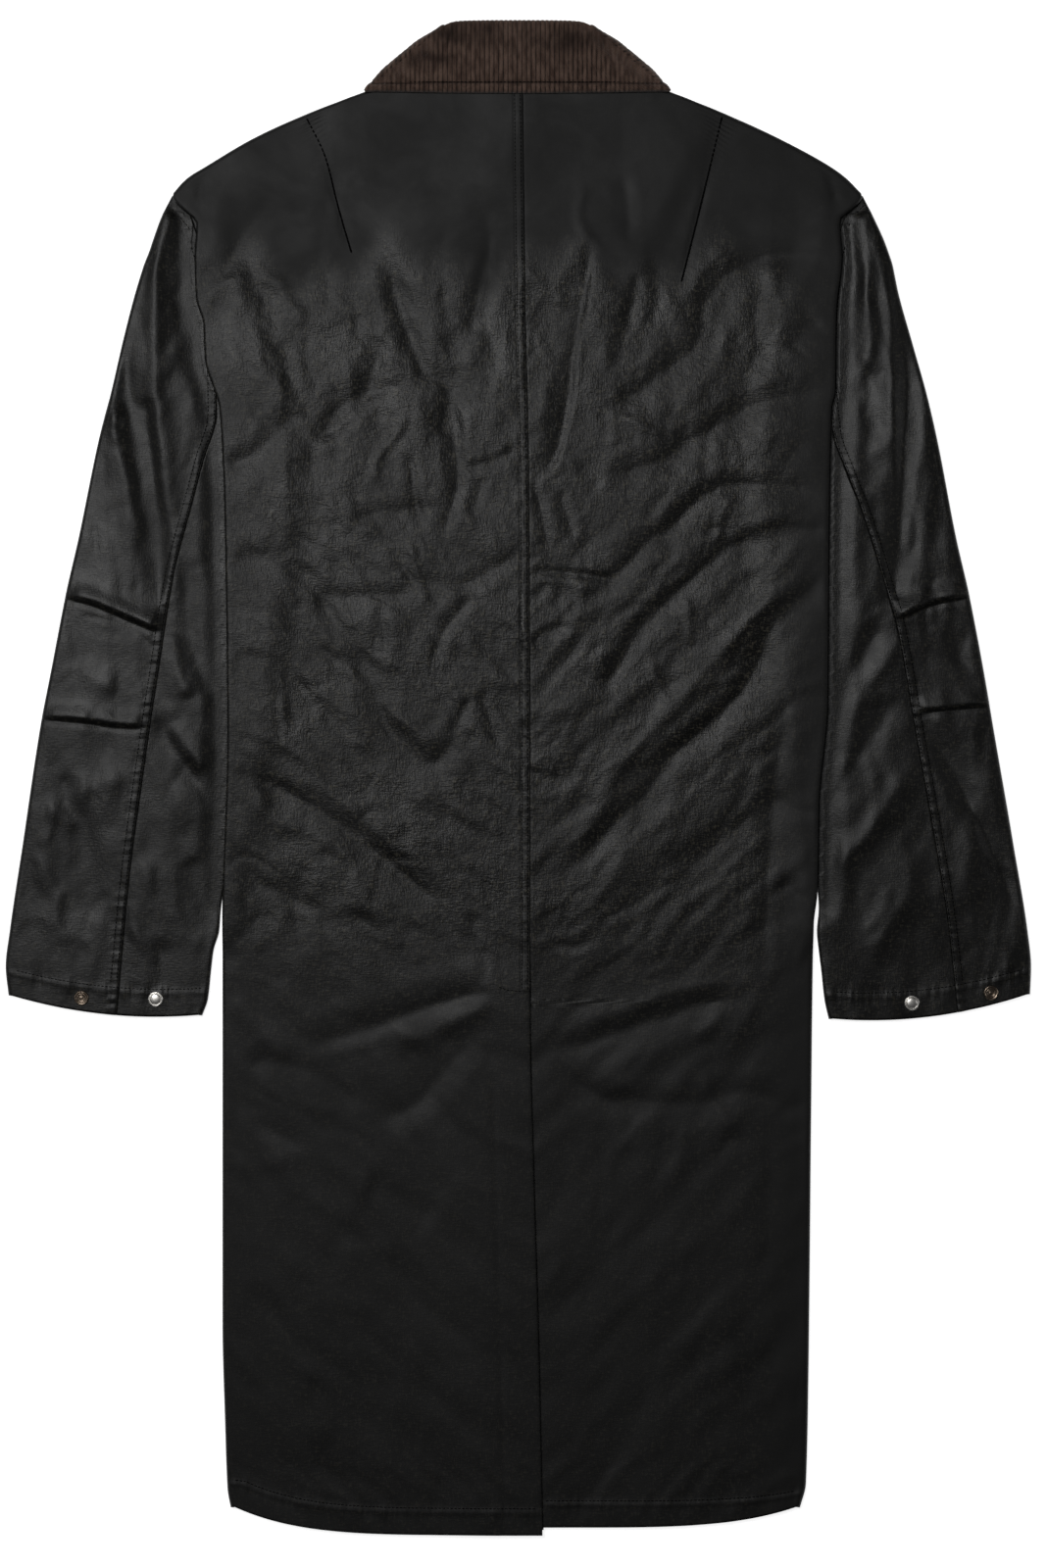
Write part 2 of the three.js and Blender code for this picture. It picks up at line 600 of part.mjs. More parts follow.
// The top or the under sleeve, from the back seam round its own fold to the front seam.
function sleevePanel(side, isTop) {
  const columns = isTop ? TOP_SLEEVE_COLUMNS : UNDER_SLEEVE_COLUMNS;
  const cuff = SLEEVE_ROW_ENDS[side].at(-1).y;
  const rows = [
    ...SLEEVE_HEAD_ROWS, ...evenRows(SLEEVE_HEAD_ROWS.at(-1), cuff, SLEEVE_ROW_STEP), cuff,
  ];
  const grid = [];
  for (const y of rows) {
    const section = sleeveSection(side, y);
    const start = section.seam + (isTop ? -section.gap : section.gap);
    const fold = isTop ? 0 : 1;
    const end = SLEEVE_FRONT_SEAM + (isTop ? -section.gap : section.gap);
    const row = [];
    for (let i = 0; i < columns.upper; i += 1) {
      row.push(section.layerPoint(mix(start, fold, i / columns.upper), true));
    }
    row.push(...rollPoints(isTop ? section.outerRoll : section.innerRoll, columns.roll));
    for (let i = 1; i <= columns.lower; i += 1) {
      row.push(section.layerPoint(mix(fold, end, i / columns.lower), false));
    }
    grid.push(row);
  }
  return closedWall(grid, WALL);
}

// The collar's sections all round: the side fold is filled with turned copies of its row, and
// the other half is mirrored.
function collarLoop() {
  const half = [];
  COLLAR_SECTIONS.forEach((section, k) => {
    half.push(section);
    for (let step = 1; k === FOLD_ROW && step < FOLD_STEPS; step += 1) {
      half.push({ ...section, turn: (180 * step) / FOLD_STEPS });
    }
  });
  const mirrored = half.map((section) => ({ ...section, mirror: -1 }));
  return [...mirrored.slice(1).reverse(), ...half.map((section) => ({ ...section, mirror: 1 }))];
}

// A point of the collar: a place on the section's flat line, moved out from the core.
function collarPoint(section, x, y, radius) {
  const first = COLLAR_SECTIONS[FOLD_ROW];
  const foldX = first.rollX - first.edgeX;
  const foldY = first.rollY - first.edgeY;
  const length = Math.hypot(foldX, foldY);
  const turn = THREE.MathUtils.degToRad(section.turn);
  const out = Math.sin(turn) * radius;
  const px = x - (foldY / length) * out;
  const py = y + (foldX / length) * out;
  const point = new THREE.Vector3(px, py, COLLAR_CORE_Z + Math.cos(turn) * radius);
  point.x = point.x * section.mirror + COLLAR_MIDDLE_X;
  return point;
}

// The fall, from its free edge up and over the roll at the top to the stand.
function collarFall() {
  const grid = collarLoop().map((section) => {
    const { rollX, rollY, edgeX, edgeY } = section;
    const row = [];
    for (let i = 0; i < FALL_COLUMNS; i += 1) {
      const t = i / FALL_COLUMNS;
      row.push(collarPoint(section, mix(edgeX, rollX, t), mix(edgeY, rollY, t), FALL_RADIUS));
    }
    const length = Math.hypot(rollX - edgeX, rollY - edgeY);
    for (let k = 0; k <= EDGE_STEPS; k += 1) {
      const angle = (Math.PI * k) / EDGE_STEPS;
      const out = ROLL_RADIUS * Math.sin(angle);
      const x = rollX + ((rollX - edgeX) / length) * out;
      const y = rollY + ((rollY - edgeY) / length) * out;
      row.push(collarPoint(section, x, y, ROLL_CENTRE + ROLL_RADIUS * Math.cos(angle)));
    }
    return row;
  });
  return closedWall(grid, CORDUROY_WALL);
}

// The stand, from just below the roll down to the neck seam.
function collarStand() {
  const grid = collarLoop().map((section) => {
    const { rollX, rollY, neckX, neckY } = section;
    const gap = ROLL_GAP / Math.hypot(neckX - rollX, neckY - rollY);
    const row = [];
    for (let i = 0; i <= STAND_COLUMNS; i += 1) {
      const t = mix(gap, 1, i / STAND_COLUMNS);
      row.push(collarPoint(section, mix(rollX, neckX, t), mix(rollY, neckY, t), STAND_RADIUS));
    }
    return row;
  });
  return closedWall(grid, WALL);
}

// A snap half, turned round its own axis and standing just clear of the cuff.
function snapMesh({ name, x, y, kind }) {
  const profile = SNAP_PROFILES[kind].map(([radius, height]) => new THREE.Vector2(radius, height));
  const scale = SNAP_RADIUS / Math.max(...profile.map((point) => point.x));
  const geometry = new THREE.LatheGeometry(profile, SNAP_SEGMENTS).scale(scale, scale, scale);
  const mesh = new THREE.Mesh(geometry, nickel.clone());
  mesh.name = name;
  mesh.rotation.x = Math.PI / 2;
  mesh.position.set(x, y, sleeveLevel(sideOf(x), x, y) + WALL / 2 + SEAM_GAP);
  return mesh;
}

function clothMesh(name, geometry, material) {
  const mesh = new THREE.Mesh(geometry, material.clone());
  mesh.name = name;
  return mesh;
}

const coat = new THREE.Group();
for (const side of ['left', 'right']) {
  coat.add(clothMesh(`back_${side}`, backPanel(side), waxedCotton));
  coat.add(clothMesh(`front_${side}`, frontPanel(side), waxedCotton));
  coat.add(clothMesh(`top_sleeve_${side}`, sleevePanel(side, true), waxedCotton));
  coat.add(clothMesh(`under_sleeve_${side}`, sleevePanel(side, false), waxedCotton));
}
coat.add(clothMesh('collar_fall', collarFall(), corduroy));
coat.add(clothMesh('collar_stand', collarStand(), corduroy));
for (const snap of SNAPS) coat.add(snapMesh(snap));

export default coat;
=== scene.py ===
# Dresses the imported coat: thin creased shells of waxed cotton over its solids, a corduroy collar,
# stitching and snaps, on a plain pale floor under soft studio light. Sizes are in millimetres
# and become metres where a mesh is made. +Z is up, +Y points to the collar.
import math

import bmesh
import bpy
import numpy as np
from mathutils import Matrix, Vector, noise


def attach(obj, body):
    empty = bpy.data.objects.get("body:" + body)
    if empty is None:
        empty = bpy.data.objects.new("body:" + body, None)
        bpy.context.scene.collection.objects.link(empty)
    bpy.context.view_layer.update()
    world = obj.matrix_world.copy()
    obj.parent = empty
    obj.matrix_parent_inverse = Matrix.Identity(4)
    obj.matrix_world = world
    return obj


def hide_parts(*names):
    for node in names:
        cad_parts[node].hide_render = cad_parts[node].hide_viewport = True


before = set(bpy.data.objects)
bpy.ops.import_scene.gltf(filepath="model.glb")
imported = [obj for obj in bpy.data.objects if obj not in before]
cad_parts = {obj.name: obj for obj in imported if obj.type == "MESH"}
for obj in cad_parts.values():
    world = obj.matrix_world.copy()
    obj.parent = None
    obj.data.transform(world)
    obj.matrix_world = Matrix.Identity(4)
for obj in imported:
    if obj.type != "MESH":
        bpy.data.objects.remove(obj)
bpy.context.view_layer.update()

MM = 0.001

# Cloth thicknesses and the layers, as in the solids
CLOTH = 1.2
CORDUROY = 1.8
SEAM_GAP = 0.3
SEWN_GAP = 0.06
FOLD_SEAM_GAP = 0.4
FLOOR_LAYER = CLOTH / 2
BACK_LEVEL = 6.4
SLEEVE_LEVEL = 5.8
TUCKED_SLEEVE_LEVEL = 3.0
TROUGH_CLEARANCE = 0.5
LEAST_ROOM = 0.1
EDGE_FADE = 12
ROLL_PROBE = 3.5

# How far the body rises over what lies under it, and how wide the slopes are
FRONT_OVER_SLEEVE = 4.2
BACK_OVER_SLEEVE = 2.0
FRONT_OVER_WING = 3.2
BACK_OVER_WING = 1.6
FRONT_OVER_FRONT = 2.0
RAMP = 24
SLEEVE_MARGIN = 4
WING_MARGIN = 27
LAP_MARGIN = 2
BODY_OVER_SLEEVE = (448, 28, -116, 30)
SLEEVE_UNDER_BODY = (470, 12, -104, 16)
SLEEVE_EMERGES = 8
SLEEVE_SWELL = 15
SLEEVE_SEAM_ROW = 0.6
SLEEVE_FRONT_SEAM = 0.8
HEAD_SHIFT = 1.1
HEAD_Y = 408
HEAD_EASE = 12

# Centre front lap and centre back vent
FRONT_LAP = 20
VENT_TOP = -172
VENT_CORNER = -180
UNDERLAP_X = -19
FLAP_RISE = 1.9
UNDERLAP_DROP = 1.0
VENT_EASE = 40
FLAP_WIDTH = 36
FLAP_EASE = 60
VENT_FACING = 30
FACING_TOP = -225

# Neck and hem
NECK_BACK_Y = 557
NECK_FRONT_Y = 483
NECK_SIDE_Y = 550
NECK_EASE_Y = 200
HEM_SIDE_Y = -581
HEM_EASE = 90
FRONT_HEM_SHORTER = 3
HEM_CENTRE = {"left": -603.4, "right": -597.6}
HEM_BEND = 5
HEM_MIDDLE_X = 16
HEM_HALF_WIDTH = 236
NECK_BEND = 2
HEM_DEPTH = 22
CUFF_DEPTH = 22
RIDGE_BELOW_ROW = 3
CUFF_OUTER_X = 408
CUFF_INNER_X = 248

# Collar: the fall and the stand go round one core, and the side fold narrows to a share of its
# radius over an easing length at each end
COLLAR_CORE_Z = 6.0
FALL_RADIUS = 5.0
STAND_RADIUS = 2.0
ROLL_RADIUS = (FALL_RADIUS - STAND_RADIUS) / 2
ROLL_CENTRE = (FALL_RADIUS + STAND_RADIUS) / 2
COLLAR_MIDDLE_X = -1
FOLD_END_SHARE = 0.4
FOLD_END_EASE = 26
ROLL_GAP = 1.5
WALE_PITCH = 3.7
WALE_HEIGHT = 0.95
COLLAR_STITCH = 8
LOWER_NAP = 0.08
UPPER_SECTIONS = 190
FOLD_SECTIONS = 9
WING_SECTIONS = 90
FALL_COLUMNS = 38
ROLL_STEPS = 8
COLLAR_EDGE_Y = 545.3
COLLAR_ROW = (-112, 110)
COLLAR_ROW_DEPTH = 0.3

# Stitching: rows beside the seams, and darts closed by two rows that stand a little proud, side by
# side as one dark line of painted shade along the folded dart edge
STITCH_PITCH = 3.1
STITCH_LENGTH = 2.7
THREAD_RADIUS = 0.42
SEAM_BAND = 6.4
LADDER_PITCH = 8.5
DART_LIFT = 0.4
DART_SHADE_SHIFT = 0.35
DART_STITCH = 1.7 * STITCH_PITCH
SEAM_TO_ROW = 1.6
CENTRE_TO_ROW = 1.8
SLEEVE_ROW_TOP = 424
CENTRE_ROW_TOP = 545
HEM_ROW = {"left": (-226, 15), "right": (21, 221)}
CUFF_ROW = (252, 402)

# Snaps, sunk a little into the cuff under them
SNAP_RADIUS = 6
SNAP_STEPS = 40
SNAP_SUNK = 0.1

# Spacing of the points where folds are worked out
FIELD_STEP = 1.5

# How worn the sleeves are, from 0 to 1, and how strong and narrow the listed creases are
SLEEVE_WORN = 0.5
BACK_STRENGTH, BACK_NARROWING = 0.55, 0.72
SLEEVE_STRENGTH = 0.85

# Heights of the back's crumples, and the sizes of darts and elbow tucks
LARGE_CRUMPLE, SMALL_CRUMPLE, FINE_CRUMPLE = 1.2, 0.6, 0.27
DART_DEPTH, DART_WIDTH = 1.1, 1.7
TUCK_SLOPE, TUCK_EDGE = 10.0, 1.5
TUCK_DIP, TUCK_DIP_OFFSET = 1.2, 2.5

# The back is worn and crumpled below the yoke, and smoother again in the skirt
WORN_TOP, WORN_EASE = 430, 42
SKIRT_TOP, SKIRT_EASE, SKIRT_WORN = -60, 190, 0.28
YOKE_WORN = 0.07
CRINKLE_TOP, CRINKLE_END = 430, -150

# Small scattered creases: where they may lie, and their length, height and width
SCATTER_X, SCATTER_Y = (-400, 400), (-570, 480)
CREASE_LENGTH = (16, 85)
CREASE_HEIGHT = (0.12, 0.75)
CREASE_WIDTH = (2.2, 6.0)
TROUGH_SHARE = 0.6
BACK_CREASE_COUNT = 170
SKIRT_CREASE_COUNT = 30
SLEEVE_CREASE_COUNT = 46
SLEEVE_SEED = {"left": 41, "right": 51}


def smooth(t):
    t = np.clip(t, 0, 1)
    return t * t * (3 - 2 * t)


def mix(a, b, t):
    return a + (b - a) * t


def hump(offset, width):
    """1 where offset is 0, fading to nothing on both sides within about twice the width."""
    return np.exp(-(offset / width) ** 2)


def curve(points):
    """x as a smooth function of y through points whose y runs down, without overshoot."""
    ys = np.array([p[0] for p in points], float)[::-1]
    xs = np.array([p[1] for p in points], float)[::-1]
    slope = np.diff(xs) / np.diff(ys)
    tangent = np.empty_like(xs)
    tangent[0], tangent[-1] = slope[0], slope[-1]
    before, after = slope[:-1], slope[1:]
    same = before * after > 0
    tangent[1:-1] = np.where(same, 2 * before * after / np.where(same, before + after, 1), 0)

    def at(y):
        y = np.clip(np.asarray(y, float), ys[0], ys[-1])
        k = np.clip(np.searchsorted(ys, y) - 1, 0, len(ys) - 2)
        span = ys[k + 1] - ys[k]
        t = (y - ys[k]) / span
        bend = t * (1 - t) * span * ((1 - t) * tangent[k] - t * tangent[k + 1])
        return mix(xs[k], xs[k + 1], t * t * (3 - 2 * t)) + bend

    return at


# Outlines and seams, as (y, x)
BODY_EDGE = {
    "left": curve([
        (550, -112), (545, -127), (537, -148), (530, -167), (510, -211), (487, -250), (479, -263),
        (471, -271), (463, -276), (453, -268), (442, -256.5), (415, -258), (383, -257), (361, -251),
        (335, -250), (292, -238), (200, -234), (28, -232), (-115, -236), (-434, -236), (-512, -234),
        (-566, -232), (-583, -229)]),
    "right": curve([
        (550, 109), (545, 125), (537, 145), (530, 163), (510, 207), (487, 249), (479, 260),
        (471, 268), (463, 274), (453, 266), (444, 255.5), (415, 257.5), (372, 253), (308, 252),
        (294, 249), (198, 247), (60, 246), (-22, 239), (-90, 238), (-117, 235), (-278, 233),
        (-473, 231), (-562, 229), (-582, 224)]),
}
SLEEVE_OUTER = {
    "left": curve([
        (463, -277.5), (448, -285), (417, -296), (385, -306), (346, -316), (307, -325), (268, -335),
        (190, -351), (151, -360), (89, -372), (42, -381), (-51, -395), (-122, -405.6),
        (-150, -408.8), (-173, -406.5)]),
    "right": curve([
        (463, 275.5), (448, 283), (417, 296), (385, 303), (346, 314), (307, 325), (268, 334),
        (190, 349), (151, 358), (89, 370), (42, 378), (-51, 394), (-122, 405.6), (-150, 408.4),
        (-172, 407.6)]),
}
SLEEVE_INNER = {
    "left": curve([
        (455, -247), (446, -249), (434, -248), (425, -246), (410, -242), (383, -227),
        (335, -212), (292, -196), (245, -191), (200, -192), (117, -203), (28, -214),
        (-44, -225), (-104, -237.2), (-122, -238.6), (-137, -243), (-153, -245),
        (-176, -247.5), (-189, -252)]),
    "right": curve([
        (455, 247), (446, 249), (434, 248), (425, 246), (410, 242), (383, 227),
        (335, 213), (292, 207), (245, 203), (200, 204), (117, 215), (28, 227), (-44, 231),
        (-104, 239.2), (-122, 237.6), (-137, 239), (-153, 241), (-176, 243.5), (-192, 247)]),
}
SLEEVE_SEAM = {
    "left": curve([
        (460, -270), (448, -263), (436, -258), (425, -254.5), (410, -251), (335, -242),
        (291, -241), (254, -251), (205, -264), (162, -275), (93, -286), (-2, -300),
        (-77, -310), (-190, -321)]),
    "right": curve([
        (460, 269), (448, 262), (436, 257), (425, 254), (410, 251), (335, 246), (278, 250),
        (245, 261), (214, 273), (177, 285), (117, 302), (49, 314), (-30, 328), (-117, 342),
        (-190, 350)]),
}
SLEEVE_ROW_INNER = {
    "left": curve([(463, 453), (448, 435), (425, 412), (385, 378), (320, 318), (250, 250),
                   (-80, -80), (-130, -135), (-173, -189)]),
    "right": curve([(463, 453), (448, 435), (425, 414), (385, 380), (320, 318), (250, 250),
                    (-80, -82), (-130, -140), (-172, -192)]),
}
SLEEVE_ROW_BOW = {
    "left": curve([(463, 0), (-80, 0), (-130, -2), (-173, -7)]),
    "right": curve([(463, 0), (-80, 0), (-130, -2), (-172, -8)]),
}
CUFF_Y = {"left": -173, "right": -172}
CENTRE_BACK = curve([
    (557, 3), (385, 5), (229, 8), (-5, 9), (-184, 9), (-317, 12), (-457, 16), (-603, 19)])
WING_OUTER = ((66, 424), (125, 548))
WING_NECK = ((4, 516), (64, 420))

# Creases: height (a trough is negative), width on the left and on the right of the line as it
# runs, and the points of the line
BACK_CREASES = [
    (-2.6, 6, 10, [(-101, 362), (-115, 323), (-127, 295), (-148, 277), (-168, 270)]),
    (-2.4, 4, 6, [(-87, 262), (-84, 240), (-82, 223), (-75, 196)]),
    (2.0, 4, 4, [(-88, 292), (-100, 270), (-113, 254), (-114, 232)]),
    (-2.8, 5, 8, [(-52, 300), (-50, 277), (-48, 238), (-52, 218), (-62, 184)]),
    (-1.8, 4, 6, [(-28, 240), (-30, 228), (-36, 208)]),
    (-2.0, 4, 6, [(-46, 246), (-30, 250), (-12, 256), (-4, 266)]),
    (-2.4, 8, 12, [(-165, 148), (-140, 145), (-112, 145), (-80, 149)]),
    (2.0, 3, 4, [(-86, 190), (-84, 178), (-80, 160), (-72, 136)]),
    (-2.4, 5, 7, [(-36, 146), (-46, 134), (-58, 118), (-70, 88)]),
    (-2.4, 6, 9, [(-162, 146), (-148, 128), (-132, 108), (-108, 76)]),
    (-1.8, 4, 6, [(-110, 140), (-107, 120), (-105, 96)]),
    (-2.0, 5, 6, [(-38, 64), (-44, 52), (-54, 32)]),
    (-1.8, 5, 6, [(-30, 70), (-24, 50), (-14, 22)]),
    (-2.0, 4, 5, [(10, 236), (16, 222), (21, 200), (23, 178)]),
    (-1.8, 4, 6, [(33, 230), (38, 212), (46, 188)]),
    (-2.0, 4, 5, [(10, 106), (18, 114), (28, 119), (46, 120)]),
    (-1.6, 2, 4, [(145, 196), (156, 199), (172, 198)]),
    (1.8, 4, 4, [(80, 289), (92, 283), (104, 277), (118, 275)]),
    (1.6, 4, 4, [(134, 146), (135, 128), (137, 102)]),
    (1.6, 4, 4, [(104, 96), (112, 74), (120, 58)]),
    (-1.6, 4, 5, [(96, 404), (92, 382), (84, 360)]),
    (-3.6, 13, 9, [(-107, 431), (-95, 375), (-76, 324), (-56, 310), (-65, 254)]),
    (-1.8, 7, 9, [(-58, 442), (-60, 395), (-58, 353)]),
    (-2.2, 10, 6, [(-20, 431), (-34, 381), (-38, 350)]),
    (2.4, 9, 7, [(-251, 370), (-239, 392), (-216, 398), (-172, 390)]),
    (-2.6, 8, 11, [(-187, 465), (-219, 431), (-241, 386)]),
    (-3.0, 9, 12, [(-239, 254), (-222, 251), (-193, 274), (-176, 296)]),
    (-3.0, 11, 7, [(-157, 264), (-147, 290), (-127, 303), (-96, 313)]),
    (-2.0, 7, 6, [(-136, 204), (-104, 212), (-72, 218)]),
    (-3.2, 10, 14, [(-232, 173), (-199, 176), (-174, 161), (-160, 147), (-140, 118)]),
    (-1.8, 6, 8, [(-84, 161), (-51, 153), (-20, 167), (2, 181)]),
    (-3.6, 9, 13, [(-176, 107), (-143, 94), (-118, 77), (-104, 41), (-87, 19), (-67, 12), (-51, 30),
                   (-36, 50)]),
    (2.8, 11, 10, [(-218, 42), (-174, 19), (-151, -9), (-115, -40)]),
    (-4.2, 10, 14, [(-234, 8), (-199, -4), (-165, -23), (-137, -41), (-109, -63), (-81, -86),
                    (-47, -102)]),
    (-2.2, 12, 15, [(-232, -47), (-205, -83), (-171, -100), (-139, -106)]),
    (-4.0, 7, 13, [(-16, -169), (-62, -180), (-115, -199), (-180, -217)]),
    (3.2, 9, 11, [(-17, -178), (-62, -199), (-104, -214)]),
    (-3.4, 10, 14, [(-32, -202), (-62, -237), (-83, -261), (-116, -274)]),
    (2.2, 12, 12, [(-229, -171), (-205, -200), (-182, -228)]),
    (-3.0, 9, 12, [(-218, -234), (-196, -224), (-149, -244), (-126, -274)]),
    (-2.2, 12, 10, [(-234, -267), (-206, -277), (-168, -296)]),
    (1.8, 12, 10, [(-227, -303), (-204, -306), (-182, -303)]),
    (-3.0, 26, 30, [(-124, -322), (-93, -336), (-64, -352)]),
    (1.4, 10, 12, [(-140, -381), (-118, -377), (-95, -378)]),
    (-1.6, 22, 26, [(-168, -478), (-139, -494), (-104, -516)]),
    (1.2, 20, 24, [(-60, -430), (-90, -470), (-96, -520)]),
    (-1.2, 18, 18, [(-214, -400), (-196, -440), (-200, -500)]),
    (-3.8, 2.5, 11, [(59, 430), (54, 390), (45, 342), (40, 299), (30, 256), (15, 238)]),
    (-1.6, 6, 8, [(83, 480), (87, 455), (87, 424)]),
    (-3.8, 15, 10, [(251, 409), (221, 416), (192, 413), (164, 399), (147, 373), (140, 344),
                    (112, 321), (87, 302), (62, 289)]),
    (-3.8, 14, 9, [(246, 308), (215, 304), (186, 296), (161, 282), (135, 268), (115, 254),
                   (90, 245), (60, 239)]),
    (-1.8, 14, 14, [(240, 366), (226, 354), (214, 340)]),
    (-3.6, 12, 8, [(248, 221), (221, 231), (192, 233), (164, 233), (141, 219), (121, 200),
                   (98, 183), (69, 150), (54, 130)]),
    (-1.8, 7, 6, [(250, 197), (221, 198), (192, 197), (172, 186)]),
    (-4.0, 12, 8, [(244, 196), (198, 190), (169, 184), (147, 167), (115, 138), (93, 113), (76, 84),
                   (64, 60)]),
    (3.4, 10, 12, [(219, 168), (186, 128), (152, 88), (112, 46), (80, 8), (54, -24)]),
    (-4.6, 16, 8, [(248, 166), (232, 150), (206, 124), (190, 92), (178, 70), (152, 44), (121, 16),
                   (101, -12), (73, -38), (50, -63), (23, -89)]),
    (-2.8, 1.8, 4, [(10, 166), (44, 164), (84, 158)]),
    (1.6, 5, 6, [(16, 158), (44, 154), (74, 148)]),
    (-1.4, 6, 8, [(209, 94), (212, 39), (204, -7), (198, -87), (195, -176)]),
    (-2.6, 14, 12, [(241, 1), (186, -30), (152, -58), (117, -77)]),
    (-4.0, 13, 8, [(186, -174), (144, -180), (117, -190), (84, -200), (51, -212), (13, -219)]),
    (2.0, 9, 9, [(176, -160), (130, -168), (84, -184), (40, -198)]),
    (-3.0, 9, 12, [(21, -222), (58, -250), (90, -266), (84, -290)]),
    (-3.4, 9, 12, [(40, -256), (80, -255), (117, -259), (151, -257), (184, -250), (237, -270)]),
    (2.8, 6, 8, [(146, -228), (154, -257), (179, -288)]),
    (1.6, 9, 8, [(132, -276), (128, -300), (119, -332)]),
    (1.8, 7, 8, [(142, -206), (150, -198), (164, -184)]),
    (-1.3, 8, 10, [(200, -280), (199, -340), (196, -400)]),
    (1.2, 6, 7, [(20, -396), (44, -380), (64, -360)]),
    (-1.6, 24, 24, [(70, -420), (110, -450), (130, -500)]),
    (1.4, 22, 20, [(150, -400), (170, -450), (168, -520)]),
]
SLEEVE_CREASES = {
    "left": [
        (-4.4, 6, 9, [(-297, 306), (-296, 284), (-291, 240), (-288, 180), (-286, 124)]),
        (-2.8, 8, 9, [(-266, 452), (-270, 424), (-267, 390), (-262, 338)]),
        (3.8, 9, 10, [(-276, 462), (-287, 424), (-289, 380), (-289, 335), (-286, 268),
                      (-279, 186)]),
        (-3.0, 7, 9, [(-319, 362), (-309, 296), (-300, 240), (-291, 178)]),
        (3.0, 9, 8, [(-327, 306), (-320, 268), (-308, 226), (-300, 180)]),
        (-3.0, 9, 10, [(-262, 178), (-264, 128), (-255, 91), (-240, 60)]),
        (2.4, 8, 8, [(-274, 120), (-272, 90), (-262, 62)]),
        (-2.8, 8, 9, [(-291, 50), (-272, 19), (-255, -4), (-241, -27)]),
        (2.2, 8, 9, [(-277, 44), (-262, 22), (-248, 6)]),
        (-2.8, 8, 9, [(-260, -62), (-255, -88), (-243, -128)]),
        (1.6, 14, 14, [(-386, -37), (-343, -9), (-303, 4)]),
        (-1.6, 16, 14, [(-370, 20), (-345, -60), (-345, -120)]),
        (1.4, 10, 12, [(-350, 96), (-340, 80), (-318, 72)]),
        (2.0, 6, 7, [(-332, 296), (-326, 292), (-316, 280)]),
        (1.8, 12, 12, [(-300, -60), (-290, -100), (-284, -140)]),
    ],
    "right": [
        (-3.2, 8, 10, [(259, 424), (257, 364), (255, 322)]),
        (3.4, 8, 9, [(266, 452), (274, 404), (280, 350), (275, 315)]),
        (4.0, 8, 9, [(277, 462), (288, 428), (295, 378), (297, 321), (300, 264), (302, 200)]),
        (-4.2, 9, 6, [(306, 356), (309, 307), (306, 264), (304, 193), (300, 161), (300, 134)]),
        (2.2, 9, 9, [(322, 330), (322, 280), (314, 220), (306, 170)]),
        (-3.6, 8, 10, [(291, 126), (271, 93), (255, 67), (248, 44)]),
        (-3.0, 8, 10, [(302, 68), (283, 36), (263, 5), (244, -26)]),
        (-3.2, 10, 6, [(324, 43), (349, -1), (374, -52), (402, -114)]),
        (2.6, 9, 11, [(317, 18), (278, -44), (255, -72), (241, -120)]),
        (2.2, 8, 9, [(308, -52), (311, -87), (295, -115), (278, -148)]),
        (-1.8, 10, 12, [(365, 133), (357, 112), (347, 86)]),
        (1.8, 10, 10, [(262, 22), (254, -10), (248, -40)]),
        (1.6, 16, 14, [(372, 10), (362, -40), (352, -110)]),
    ],
}
# Elbow tucks: the cloth above the line folds down over the cloth below it
TUCKS = {
    "left": [(3.2, [(-366, 147), (-341, 141), (-321, 133), (-300, 124), (-284, 117)]),
             (2.6, [(-386, 50), (-350, 47), (-320, 43), (-297, 42)])],
    "right": [(3.2, [(299, 127), (312, 133), (328, 140), (345, 144), (366, 147)]),
              (2.4, [(316, 54), (336, 56), (356, 58), (384, 60)])],
}
DARTS = {"left": [(-169, 526), (-154, 495), (-144, 456), (-133, 418)],
         "right": [(162, 527), (151, 481), (140, 436), (129, 393)]}
SHOULDER_FOLDS = [[(-250, 486), (-254, 464), (-257, 441), (-258, 412)],
                  [(247, 485), (251, 465), (255, 445), (258, 416)]]

# Half the collar from centre back to its side fold, then its wing to centre front. Each row has
# x and y of the roll at the top, of the edge of the fall and of the neck edge of the stand
COLLAR_SECTIONS = np.array([
    (0, 600.4, 0, 545.2, 0, 558.6), (-27, 600.4, -44, 545.4, -42, 558.2),
    (-45, 600.2, -84, 546.0, -79, 557.0), (-53, 599.4, -108, 546.4, -98, 555.0),
    (-59.5, 596.8, -120.5, 546.4, -110.5, 554.0)])
COLLAR_WINGS = np.array([
    (-59.5, 596.8, -120.5, 546.4, -110.5, 554.0), (-51, 585, -110, 519, -100, 542),
    (-38, 567, -97, 485, -80, 526.5), (-26, 548, -83, 453, -55, 511),
    (-14, 530, -70, 425, -29, 498.5), (-4, 516, -61, 421, -4, 491)])
# Where the nap is pressed dark: middle x and y, half width and half height
NAP_PATCHES = [(-42, 592, 24, 9), (40, 586, 27, 8), (-70, 572, 14, 6)]

# Name, middle x and y, and kind of each snap half
SNAPS = [("socket_left", -348, -175, "socket"), ("stud_left", -289, -176, "stud"),
         ("stud_right", 313, -179, "stud"), ("socket_right", 376, -171, "socket")]


def between(a, b, c, d, t):
    """The place at share t from b to c on a smooth curve through four points."""
    return 0.5 * (2 * b + (c - a) * t + (2 * a - 5 * b + 4 * c - d) * t * t
                  + (3 * b - a - 3 * c + d) * t ** 3)


def with_ends(rows):
    return np.vstack([2 * rows[0] - rows[1], rows, 2 * rows[-1] - rows[-2]])


def eased_line(points, steps=4):
    """Points on a smooth curve through the given ones."""
    padded = with_ends(np.array(points, float))
    line = [between(*padded[k:k + 4], t)
            for k in range(len(points) - 1) for t in np.arange(steps) / steps]
    return np.array(line + [padded[-2]])


